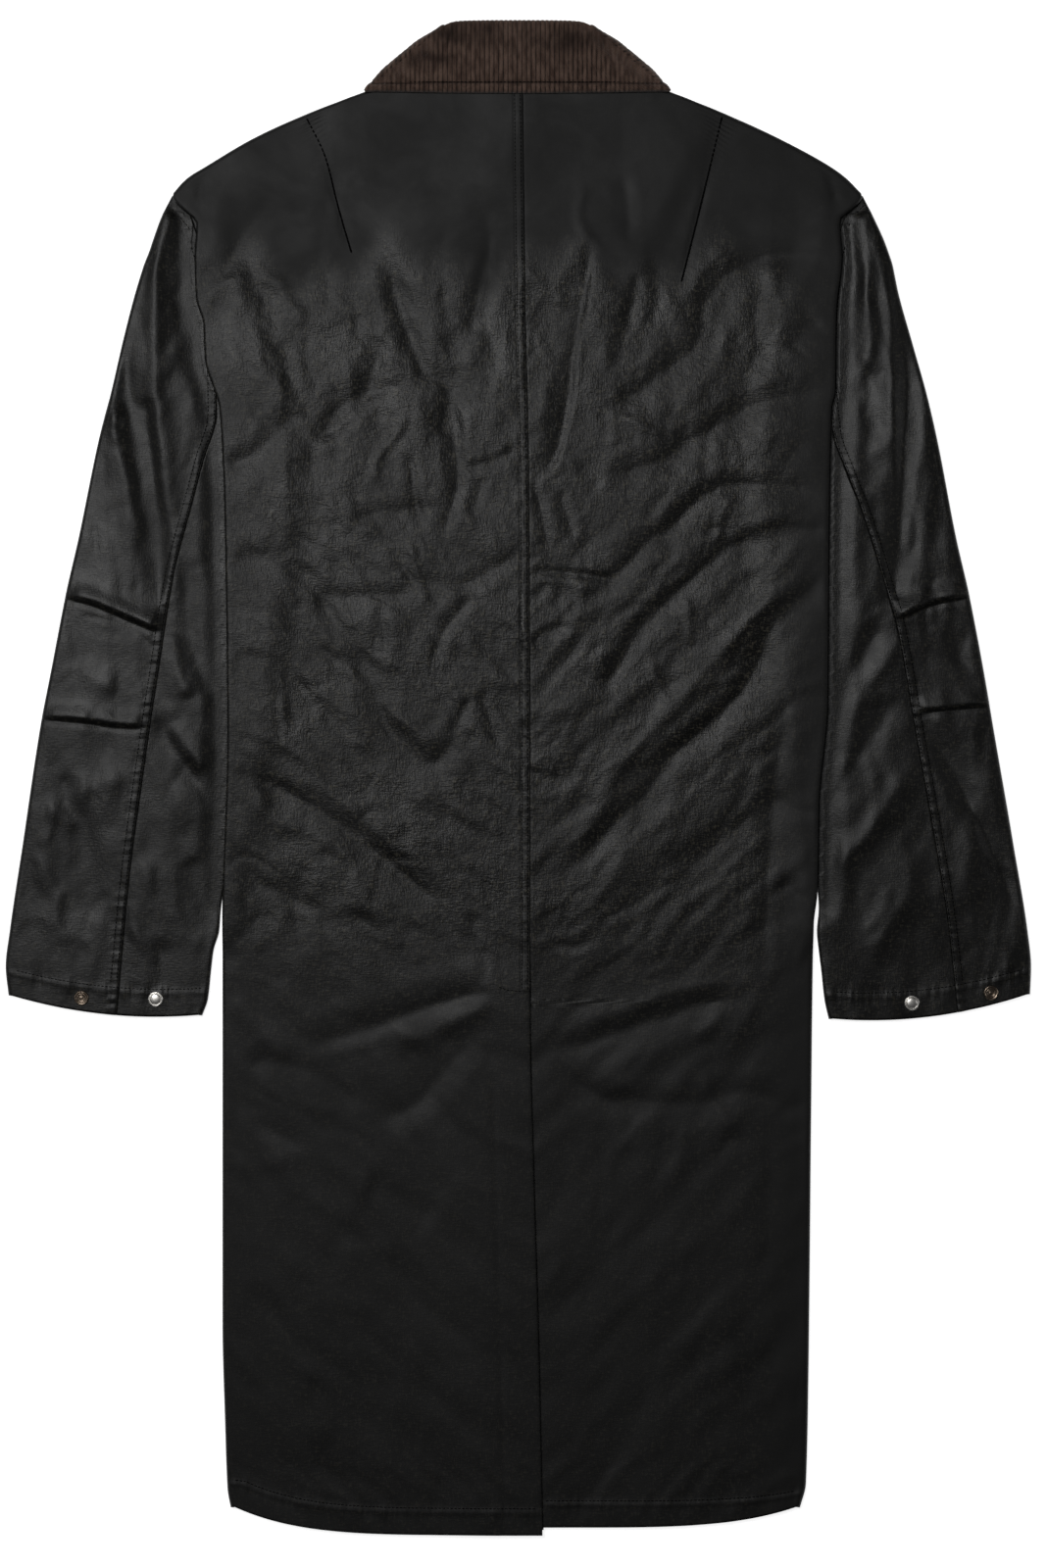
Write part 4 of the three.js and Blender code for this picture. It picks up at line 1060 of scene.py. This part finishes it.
def waxed_cotton(name, smooth_wax, rough_wax):
    """Tightly woven cotton soaked in wax: nearly black with a low broad shine, duller where the
    wax is fresh, crumpled and rubbed pale on single threads where it has been worn, and gathered
    by its seams. Its threads are half a millimetre apart, drawn coarser than that to show."""
    material, tree = new_material(name)
    place = node(tree, "ShaderNodeTexCoord")
    worn = node(tree, "ShaderNodeAttribute", attribute_name="worn")
    gathered = node(tree, "ShaderNodeAttribute", attribute_name="gathered")
    blotch = node(tree, "ShaderNodeTexNoise", {
        "Vector": (place, "Object"), "Scale": PER_METRE / BLOTCH, "Detail": 8.0,
        "Roughness": 0.66, "Distortion": 0.4})

    # Threads of the weave
    warp = streaks(tree, place, (WEAVE_WIDTH, WEAVE_LENGTH, WEAVE_DEPTH), 2.0)
    weft = streaks(tree, place, (WEAVE_LENGTH, WEAVE_WIDTH, WEAVE_DEPTH), 2.0)
    weave = node(tree, "ShaderNodeMath", {0: (warp, "Fac"), 1: (weft, "Fac")}, operation="ADD")
    threads = node(tree, "ShaderNodeMath", {0: (weave, 0), 1: (worn, "Fac")}, operation="MULTIPLY")

    # Sharp little crumples between flatter facets
    bend = node(tree, "ShaderNodeTexNoise", {
        "Vector": (place, "Object"), "Scale": PER_METRE / SWAY, "Detail": 3.0})
    sway = node(tree, "ShaderNodeVectorMath", {0: (bend, "Color"), "Scale": 0.03},
                operation="SCALE")
    swayed = node(tree, "ShaderNodeVectorMath", {0: (place, "Object"), 1: (sway, 0)},
                  operation="ADD")
    large, small = (
        node(tree, "ShaderNodeTexVoronoi", {"Vector": (swayed, 0), "Scale": PER_METRE / size})
        for size in (LARGE_FACET, SMALL_FACET))
    lesser = node(tree, "ShaderNodeMath", {0: (small, "Distance"), 1: 0.35}, operation="MULTIPLY")
    crumples = node(tree, "ShaderNodeMath", {0: (large, "Distance"), 1: (lesser, 0)},
                    operation="ADD")
    lifted = node(tree, "ShaderNodeMath", {0: (crumples, 0), 1: (worn, "Fac")},
                  operation="MULTIPLY")

    # Puckers across the seams, and across the hems where the mark is below 0
    gathers = []
    for size, part in (((PUCKER_LENGTH, PUCKER_WIDTH, PUCKER_DEPTH), "MAXIMUM"),
                       ((PUCKER_WIDTH, PUCKER_LENGTH, PUCKER_DEPTH), "MINIMUM")):
        rungs = streaks(tree, place, size, 1.0)
        rung = node(tree, "ShaderNodeMath", {0: (rungs, "Fac"), 1: 0.5}, operation="SUBTRACT")
        mark = node(tree, "ShaderNodeMath", {0: (gathered, "Fac"), 1: 0.0}, operation=part)
        gathers.append(node(tree, "ShaderNodeMath", {0: (rung, 0), 1: (mark, 0)},
                            operation="MULTIPLY"))
    puckers = node(tree, "ShaderNodeMath", {0: (gathers[0], 0), 1: (gathers[1], 0)},
                   operation="SUBTRACT")

    # Colour and shine
    dark = node(tree, "ShaderNodeValToRGB", {"Fac": (blotch, "Fac")},
                [(0.35, linear("#060605")), (0.7, linear("#0c0c0b"))])
    rubbed = node(tree, "ShaderNodeMapRange", {
        "Value": (weave, 0), "From Min": 1.04, "From Max": 1.3, "To Min": 0.0, "To Max": 1.0})
    pale = node(tree, "ShaderNodeMath", {0: (rubbed, "Result"), 1: (worn, "Fac")},
                operation="MULTIPLY")
    colour = node(tree, "ShaderNodeMix", {0: (pale, 0), 6: (dark, "Color"), 7: linear("#403d34")},
                  data_type="RGBA")
    gloss = node(tree, "ShaderNodeMapRange", {
        "Value": (blotch, "Fac"), "From Min": 0.35, "From Max": 0.65,
        "To Min": smooth_wax + FRESH_WAX, "To Max": rough_wax + FRESH_WAX})
    rub = node(tree, "ShaderNodeMath", {0: (worn, "Fac"), 1: FRESH_WAX}, operation="MULTIPLY")
    shine = node(tree, "ShaderNodeMath", {0: (gloss, "Result"), 1: (rub, 0)},
                 operation="SUBTRACT")

    fine = node(tree, "ShaderNodeBump", {
        "Height": (threads, 0), "Strength": 1.0, "Distance": 0.00028})
    broad = node(tree, "ShaderNodeBump", {
        "Height": (lifted, 0), "Normal": (fine, "Normal"), "Strength": 1.0, "Distance": 0.0006})
    sewn = node(tree, "ShaderNodeBump", {
        "Height": (puckers, 0), "Normal": (broad, "Normal"), "Strength": 1.0, "Distance": 0.003})
    finish_material(tree, {
        "Base Color": (colour, 2), "Roughness": (shine, 0), "Normal": (sewn, "Normal"),
        "Specular IOR Level": 0.37})
    return material


def corduroy(name):
    """Cut-pile cotton in wales: brown and matt, with painted highlight on the crests and painted
    shade in the grooves, darker where the pile lies the other way, and darker along its stitched
    row, where the pile is flattened and painted shade lies in the groove."""
    material, tree = new_material(name)
    wale = node(tree, "ShaderNodeAttribute", attribute_name="wale")
    nap = node(tree, "ShaderNodeAttribute", attribute_name="nap")
    place = node(tree, "ShaderNodeTexCoord")
    pile = node(tree, "ShaderNodeTexNoise", {
        "Vector": (place, "Object"), "Scale": PER_METRE / PILE, "Detail": 3.0, "Roughness": 0.7})
    tufts = streaks(tree, place, (TUFT_WIDTH, TUFT_LENGTH, TUFT_WIDTH), 3.0)
    # Painted highlight on the wale crests and painted shade in the grooves between them
    colour = node(tree, "ShaderNodeValToRGB", {"Fac": (wale, "Fac")},
                  [(0.3, linear("#1a120e")), (0.9, linear("#7d685d"))])
    # Darker where the pile lies flattened, and painted shade along the stitched groove of the fall
    pressed_and_shaded_colour = node(tree, "ShaderNodeMix", {
        0: (nap, "Fac"), 6: (colour, "Color"), 7: linear("#2a1d18")}, data_type="RGBA")
    streak = node(tree, "ShaderNodeValToRGB", {"Fac": (tufts, "Fac")},
                  [(0.35, linear("#b4aeab")), (0.62, linear("#ffffff"))])
    streaked = node(tree, "ShaderNodeMix", {0: 1.0, 6: (pressed_and_shaded_colour, 2), 7: (streak, "Color")},
                    data_type="RGBA", blend_type="MULTIPLY")
    speckle = node(tree, "ShaderNodeMix", {
        0: (pile, "Fac"), 6: (streaked, 2), 7: linear("#a59890")},
        data_type="RGBA", blend_type="MULTIPLY")
    bump = node(tree, "ShaderNodeBump", {
        "Height": (pile, "Fac"), "Strength": 0.6, "Distance": 0.0006})
    finish_material(tree, {
        "Base Color": (speckle, 2), "Normal": (bump, "Normal"), "Roughness": 0.95,
        "Specular IOR Level": 0.2, "Sheen Weight": 0.25, "Sheen Roughness": 0.5})
    return material


def plain(name, colour, roughness, metallic=0.0, shine=0.5):
    """A material that is the same all over."""
    material, tree = new_material(name)
    finish_material(tree, {
        "Base Color": linear(colour), "Roughness": roughness, "Metallic": metallic,
        "Specular IOR Level": shine})
    return material


# The sleeves' wax is smoother than the body's, so their long folds shine more
BODY_COTTON = waxed_cotton("waxed_cotton_body", 0.37, 0.49)
SLEEVE_COTTON = waxed_cotton("waxed_cotton_sleeves", 0.3, 0.41)
CORDUROY_PILE = corduroy("corduroy_pile")
# Flat dark brown, which only shows as a shadow below the fall
UNDERCOLLAR = plain("collar_stand_cotton", "#241a15", 0.9)
# Black and matt, so the seams read as fine dark lines on the waxed cloth
THREAD = plain("black_polyester_thread", "#070707", 0.8, shine=0.05)
# Pale soft mirror of the snap studs
NICKEL = plain("satin_nickel_plate", "#e8e5df", 0.36, 1.0)
# Brown yellowish shine of the snap sockets
AGED_BRASS = plain("dulled_brass", "#84776a", 0.3, 1.0)

# Cloth pieces
layers = {}
for side in ("left", "right"):
    back = shell(f"back_{side}_cloth", f"back_{side}", back_grid(side), CLOTH,
                 BODY_COTTON)
    front = shell(f"front_{side}_cloth", f"front_{side}", front_grid(side), CLOTH,
                  BODY_COTTON)
    top = shell(f"top_sleeve_{side}_cloth", f"top_sleeve_{side}", sleeve_grid(side, True), CLOTH,
                SLEEVE_COTTON)
    under = shell(f"under_sleeve_{side}_cloth", f"under_sleeve_{side}", sleeve_grid(side, False),
                  CLOTH, SLEEVE_COTTON)
    layers[side] = (back, front, top, under)


def collar_sections():
    """Half the collar from centre back round its fold to centre front: places and turns."""
    upper = interpolated(COLLAR_SECTIONS, UPPER_SECTIONS)
    fold = np.repeat(COLLAR_SECTIONS[-1:], FOLD_SECTIONS, axis=0)
    wing = interpolated(COLLAR_WINGS, WING_SECTIONS)
    turns = np.concatenate([
        np.zeros(UPPER_SECTIONS), np.linspace(0, 180, FOLD_SECTIONS + 2)[1:-1],
        np.full(WING_SECTIONS, 180)])
    half = np.concatenate([upper, fold, wing])
    places = np.concatenate([half[1:][::-1], half])
    mirror = np.concatenate([np.full(len(half) - 1, -1), np.ones(len(half))])
    return places, np.radians(np.concatenate([turns[1:][::-1], turns])), mirror


FOLD_START = COLLAR_SECTIONS[-1, 0:2] - COLLAR_SECTIONS[-1, 2:4]
FOLD_WAY = FOLD_START / np.linalg.norm(FOLD_START)
FOLD_OUT = np.array([-FOLD_WAY[1], FOLD_WAY[0]])
FOLD_ORIGIN = COLLAR_SECTIONS[-1, 2:4]


def collar_point(x, y, radius, turn, mirror):
    """A point of the collar, whose side fold is narrower at both of its ends."""
    share = (x - FOLD_ORIGIN[0]) * FOLD_WAY[0] + (y - FOLD_ORIGIN[1]) * FOLD_WAY[1]
    from_end = np.minimum(share, np.linalg.norm(FOLD_START) - share)
    out = np.sin(turn) * radius * mix(FOLD_END_SHARE, 1, smooth(from_end / FOLD_END_EASE))
    px = (x + FOLD_OUT[0] * out) * mirror + COLLAR_MIDDLE_X
    return np.stack([px, y + FOLD_OUT[1] * out, COLLAR_CORE_Z + np.cos(turn) * radius], axis=2)


def unfolded_x(x, y, turn):
    """Where a point of the collar lies across the wales, with the fold opened out."""
    px, py = x - FOLD_ORIGIN[0], y - FOLD_ORIGIN[1]
    out = px * FOLD_OUT[0] + py * FOLD_OUT[1]
    over = turn > math.pi - 0.01
    reflected = x - 2 * np.where(over, out, 0) * FOLD_OUT[0]
    return reflected + FOLD_OUT[0] * FALL_RADIUS * turn


def wale_profile(across):
    share = np.abs((across / WALE_PITCH) % 1 * 2 - 1)
    return 1 - share ** 3


def collar_fall():
    places, turn, mirror = collar_sections()
    roll_x, roll_y, edge_x, edge_y = (places[:, k:k + 1] for k in range(4))
    turn, mirror = turn[:, None], mirror[:, None]
    t = np.linspace(0, 1, FALL_COLUMNS)[None, :-1]
    flat_x, flat_y = mix(edge_x, roll_x, t), mix(edge_y, roll_y, t)
    radius = np.full(flat_x.shape, FALL_RADIUS)
    length = np.hypot(roll_x - edge_x, roll_y - edge_y)
    angle = np.linspace(0, np.pi, ROLL_STEPS + 1)[None, :]
    out = ROLL_RADIUS * np.sin(angle) / length
    over_x, over_y = roll_x + (roll_x - edge_x) * out, roll_y + (roll_y - edge_y) * out
    over_radius = ROLL_CENTRE + ROLL_RADIUS * np.cos(angle) * np.ones(over_x.shape)
    x = np.concatenate([flat_x, over_x], axis=1)
    y = np.concatenate([flat_y, over_y], axis=1)
    radius = np.concatenate([radius, over_radius], axis=1)
    across = unfolded_x(
        np.concatenate([flat_x, np.repeat(roll_x, ROLL_STEPS + 1, 1)], 1),
        np.concatenate([flat_y, np.repeat(roll_y, ROLL_STEPS + 1, 1)], 1), turn)
    wale = wale_profile(across)
    from_edge = np.concatenate([t * length, np.full(over_x.shape, 99.0)], axis=1)
    stitch = hump(from_edge - COLLAR_STITCH, 1.1)
    swell = 1.1 * hump(from_edge - COLLAR_STITCH / 2, 2.4) - 1.6 * hump(from_edge, 1.4)
    lift = WALE_HEIGHT * (wale - 0.6) * (1 - 0.5 * stitch) - 0.8 * stitch + swell
    lift = np.where(turn > math.pi / 2, LOWER_NAP * lift, lift)
    outward = np.concatenate([np.ones(flat_x.shape), np.cos(angle) * np.ones(over_x.shape)], 1)
    radius = radius + lift * outward
    x = x + (roll_x - edge_x) / length * lift * (1 - np.abs(outward))
    y = y + (roll_y - edge_y) / length * lift * (1 - np.abs(outward))
    grid = collar_point(x, y, radius, turn * np.ones(x.shape), mirror * np.ones(x.shape))
    nap = np.zeros(x.shape)
    for cx, cy, rx, ry in NAP_PATCHES:
        gx, gy = grid[:, :, 0], grid[:, :, 1]
        wave = 0.35 * np.sin(gx / 5) + 0.3 * np.sin(gy / 3 + gx / 9)
        patch = np.exp(-((gx - cx) / rx) ** 2 - ((gy - cy) / ry) ** 2 + wave)
        nap = np.maximum(nap, np.where(turn < 1, np.clip(patch, 0, 1), 0) * 0.7)
    # The stitched row is darkened too: pile flattened there, plus painted shade in its groove
    nap = np.maximum(nap, 0.85 * stitch)
    return grid, wale, nap


def collar_stand():
    places, turn, mirror = collar_sections()
    roll_x, roll_y, _, _, neck_x, neck_y = (places[:, k:k + 1] for k in range(6))
    gap = ROLL_GAP / np.hypot(neck_x - roll_x, neck_y - roll_y)
    t = mix(gap, 1, np.linspace(0, 1, 6)[None, :])
    x, y = mix(roll_x, neck_x, t), mix(roll_y, neck_y, t)
    ones = np.ones(x.shape)
    return collar_point(x, y, STAND_RADIUS * ones, turn[:, None] * ones, mirror[:, None] * ones)


fall_grid, fall_wale, fall_pressed_pile_and_stitch_shade = collar_fall()
fall = shell("collar_fall_corduroy", "collar_fall", fall_grid, CORDUROY, CORDUROY_PILE,
             {"wale": fall_wale, "nap": fall_pressed_pile_and_stitch_shade})
stand = shell("collar_stand_cotton", "collar_stand", collar_stand()[::3], CLOTH,
              UNDERCOLLAR)


def back_top(flap, lift=0.0):
    return lambda x, y: back_level(x, y, flap) + CLOTH / 2 + lift


def sleeve_top(side):
    return lambda x, y: sleeve_level(side, x, y) + CLOTH / 2


def stitch_shape():
    """Corners and faces of one stitch: a rounded thread of radius and half length 1 along Z."""
    bm = bmesh.new()
    bmesh.ops.create_uvsphere(bm, u_segments=6, v_segments=4, radius=1)
    bm.verts.index_update()
    corners = np.array([vert.co for vert in bm.verts])
    faces = [[vert.index for vert in face.verts] for face in bm.faces]
    bm.free()
    return corners, faces


def stitch_row(points, surface, length=STITCH_LENGTH):
    """Starts and ends of stitches laid end to end along a line on a surface."""
    line = eased_line(points, 6)
    steps = np.linalg.norm(np.diff(line, axis=0), axis=1)
    run = np.concatenate([[0], np.cumsum(steps)])
    starts = np.arange(0.5, run[-1] - length, STITCH_PITCH)
    ends = []
    for at in (starts, starts + length):
        x, y = np.interp(at, run, line[:, 0]), np.interp(at, run, line[:, 1])
        ends.append(np.stack([x, y, surface(x, y)], axis=1))
    return ends


def stitching(name, rows):
    corners, faces = stitch_shape()
    starts, ends = (np.concatenate(part) for part in zip(*(stitch_row(*row) for row in rows)))
    way = ends - starts
    length = np.linalg.norm(way, axis=1, keepdims=True)
    aside = np.cross(way, (0, 0, 1)) / length
    upright = np.cross(aside, way) / length
    placed = (starts + ends)[:, None, :] / 2 + (
        corners[None, :, 0:1] * aside[:, None, :] * THREAD_RADIUS
        + corners[None, :, 1:2] * upright[:, None, :] * THREAD_RADIUS
        + corners[None, :, 2:3] * way[:, None, :] / 2)
    first = np.arange(len(starts)) * len(corners)
    joined = [[corner + shift for corner in face] for shift in first.tolist() for face in faces]
    mesh = bpy.data.meshes.new(name)
    mesh.from_pydata((placed.reshape(-1, 3) * MM).tolist(), [], joined)
    return finish_piece(name, mesh, THREAD)


def along_curve(function, top, end, offset, count=60):
    ys = np.linspace(top, end, count)
    return [(float(function(y)) + offset, y) for y in ys]


def hem_row(side):
    places = np.linspace(*HEM_ROW[side], 30)
    return [(x, float(hem_y(np.array(x))) + HEM_DEPTH) for x in places]


def cuff_row(side):
    places = np.linspace(*CUFF_ROW, 24) * (-1 if side == "left" else 1)
    return [(x, float(cuff_line(side, np.array(x))) + CUFF_DEPTH) for x in places]


BAR_TACK = [(-16, -166), (-9, -168.5), (3, -170)]
ARMHOLE = {"left": [(-279, 456), (-269, 446), (-261, 436)],
           "right": [(276, 457), (268, 449), (262, 438)]}
for side in ("left", "right"):
    sign = -1 if side == "left" else 1
    flap = -sign
    seams = [along_curve(SLEEVE_SEAM[side], SLEEVE_ROW_TOP, CUFF_Y[side] + 8, sign * offset)
             for offset in (SEAM_TO_ROW, SEAM_BAND)]
    rows = [(points, sleeve_top(side)) for points in (*seams, cuff_row(side), ARMHOLE[side])]
    sleeve_thread = stitching(f"stitching_sleeve_{side}", rows)
    body = [(hem_row(side), back_top(flap))]
    if side == "left":
        centre_rows = [along_curve(CENTRE_BACK, CENTRE_ROW_TOP, VENT_TOP + 3, -offset)
                       for offset in (SEAM_BAND, CENTRE_TO_ROW)]
        body += [(points, back_top(flap)) for points in (*centre_rows, BAR_TACK)]
    # Each dart gets two black rows side by side: thread that stands in for painted shade along its
    # folded edge
    for shift in (-DART_SHADE_SHIFT, DART_SHADE_SHIFT):
        doubled = [(x + shift, y) for x, y in DARTS[side]]
        body.append((doubled, back_top(flap, DART_LIFT), DART_STITCH))
    back_thread_and_dart_shade = stitching(f"stitching_and_dart_shade_back_{side}", body)
    back, front, top, under = layers[side]


def collar_stitching():
    """The row of stitches along the lower edge of the fall."""
    points = [(x, COLLAR_EDGE_Y + COLLAR_STITCH) for x in np.linspace(*COLLAR_ROW, 60)]
    top = COLLAR_CORE_Z + FALL_RADIUS + CORDUROY / 2 - COLLAR_ROW_DEPTH
    return stitching("stitching_collar", [(points, lambda x, y: np.full(x.shape, top))])


collar_stitching()

# Snaps: each profile is (radius, height) from its middle out and down
SNAP_PROFILES = {
    "socket": [(0, 0.9), (1.2, 0.9), (1.5, 0.5), (2.3, 0.5), (2.6, 1.1), (3.1, 1.25), (3.4, 0.9),
               (3.9, 0.9), (4.3, 1.5), (5.0, 1.75), (5.6, 1.45), (6.0, 0.8), (5.9, 0.2), (5.5, 0)],
    "stud": [(0, 2.5), (1.8, 2.42), (3.4, 2.2), (3.9, 2.0), (4.1, 1.7), (4.2, 1.0), (4.6, 0.95),
             (4.9, 1.2), (5.5, 1.15), (6.0, 0.7), (5.9, 0.2), (5.5, 0)],
}


def snap(name, x, y, kind):
    side = "left" if x < 0 else "right"
    seat = float(sleeve_level(side, np.array([x]), np.array([y]))[0]) + CLOTH / 2
    bm = bmesh.new()
    profile = [bm.verts.new((r * MM, 0, h * MM)) for r, h in SNAP_PROFILES[kind]]
    edges = [bm.edges.new(pair) for pair in zip(profile, profile[1:])]
    bmesh.ops.spin(bm, geom=profile + edges, cent=(0, 0, 0), axis=(0, 0, 1), angle=2 * math.pi,
                   steps=SNAP_STEPS, use_merge=True)
    bmesh.ops.remove_doubles(bm, verts=bm.verts, dist=0.02 * MM)
    rim = [e for e in bm.edges if e.is_boundary]
    bmesh.ops.holes_fill(bm, edges=rim, sides=0)
    bmesh.ops.recalc_face_normals(bm, faces=bm.faces)
    bmesh.ops.translate(bm, verts=bm.verts, vec=(x * MM, y * MM, (seat - SNAP_SUNK) * MM))
    mesh = bpy.data.meshes.new(name)
    bm.to_mesh(mesh)
    bm.free()
    piece = finish_piece(name, mesh, NICKEL if kind == "stud" else AGED_BRASS)
    bevel = piece.modifiers.new("rounding", "BEVEL")
    bevel.width = 0.1 * MM
    bevel.segments = 2
    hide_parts(f"snap_{name}")


for name, x, y, kind in SNAPS:
    snap(name, x, y, kind)


# Floor, light and camera, in metres. The floor lies a hair below the coat
FLOOR_HALF_SIZE = 40.0
FLOOR_DROP = 0.0003


def light_table():
    """White acrylic of a lit table: even and almost without shadows."""
    material, tree = new_material("white_lit_table")
    finish_material(tree, {
        "Base Color": linear("#f4f4f4"), "Roughness": 0.9, "Emission Color": (1, 1, 1, 1),
        "Emission Strength": 0.85})
    return material


def floor():
    bm = bmesh.new()
    bmesh.ops.create_grid(bm, x_segments=1, y_segments=1, size=FLOOR_HALF_SIZE)
    bmesh.ops.translate(bm, verts=bm.verts, vec=(0, 0, -FLOOR_DROP))
    mesh = bpy.data.meshes.new("floor")
    bm.to_mesh(mesh)
    bm.free()
    mesh.materials.append(light_table())
    made = bpy.data.objects.new("floor", mesh)
    bpy.context.scene.collection.objects.link(made)


def softbox(name, place, size, watts):
    light = bpy.data.lights.new(name, "AREA")
    light.shape = "RECTANGLE"
    light.size, light.size_y = size
    light.energy = watts
    made = bpy.data.objects.new(name, light)
    made.location = place
    made.visible_camera = False
    made.rotation_mode = "QUATERNION"
    made.rotation_quaternion = (-Vector(place)).to_track_quat("-Z", "Y")
    bpy.context.scene.collection.objects.link(made)


floor()
softbox("key_above", (-0.85, 0.85, 2.8), (1.1, 1.1), 33)
softbox("side_left", (-2.6, 0.2, 1.2), (0.7, 2.4), 2.5)
softbox("side_right", (2.6, 0.2, 1.2), (0.7, 2.4), 6)
world = bpy.data.worlds.new("studio")
world.use_nodes = True
world.node_tree.nodes["Background"].inputs["Color"].default_value = (0.95, 0.96, 1.0, 1.0)
world.node_tree.nodes["Background"].inputs["Strength"].default_value = 0.035
bpy.context.scene.world = world
bpy.context.scene.view_settings.view_transform = "Standard"

# The camera looks straight down and frames a rectangle at the coat's upper layer, in metres
PHOTO_HEIGHT = 1.248
PHOTO_MIDDLE = (0.0035, -0.0047)
CAMERA_HEIGHT = 3.0
UPPER_LAYER = 0.008
SENSOR = 36
camera = bpy.data.cameras.new("camera")
camera.sensor_width = SENSOR
camera.lens = SENSOR * (CAMERA_HEIGHT - UPPER_LAYER) / PHOTO_HEIGHT
camera_object = bpy.data.objects.new("camera", camera)
camera_object.location = (*PHOTO_MIDDLE, CAMERA_HEIGHT)
bpy.context.scene.collection.objects.link(camera_object)
bpy.context.scene.camera = camera_object
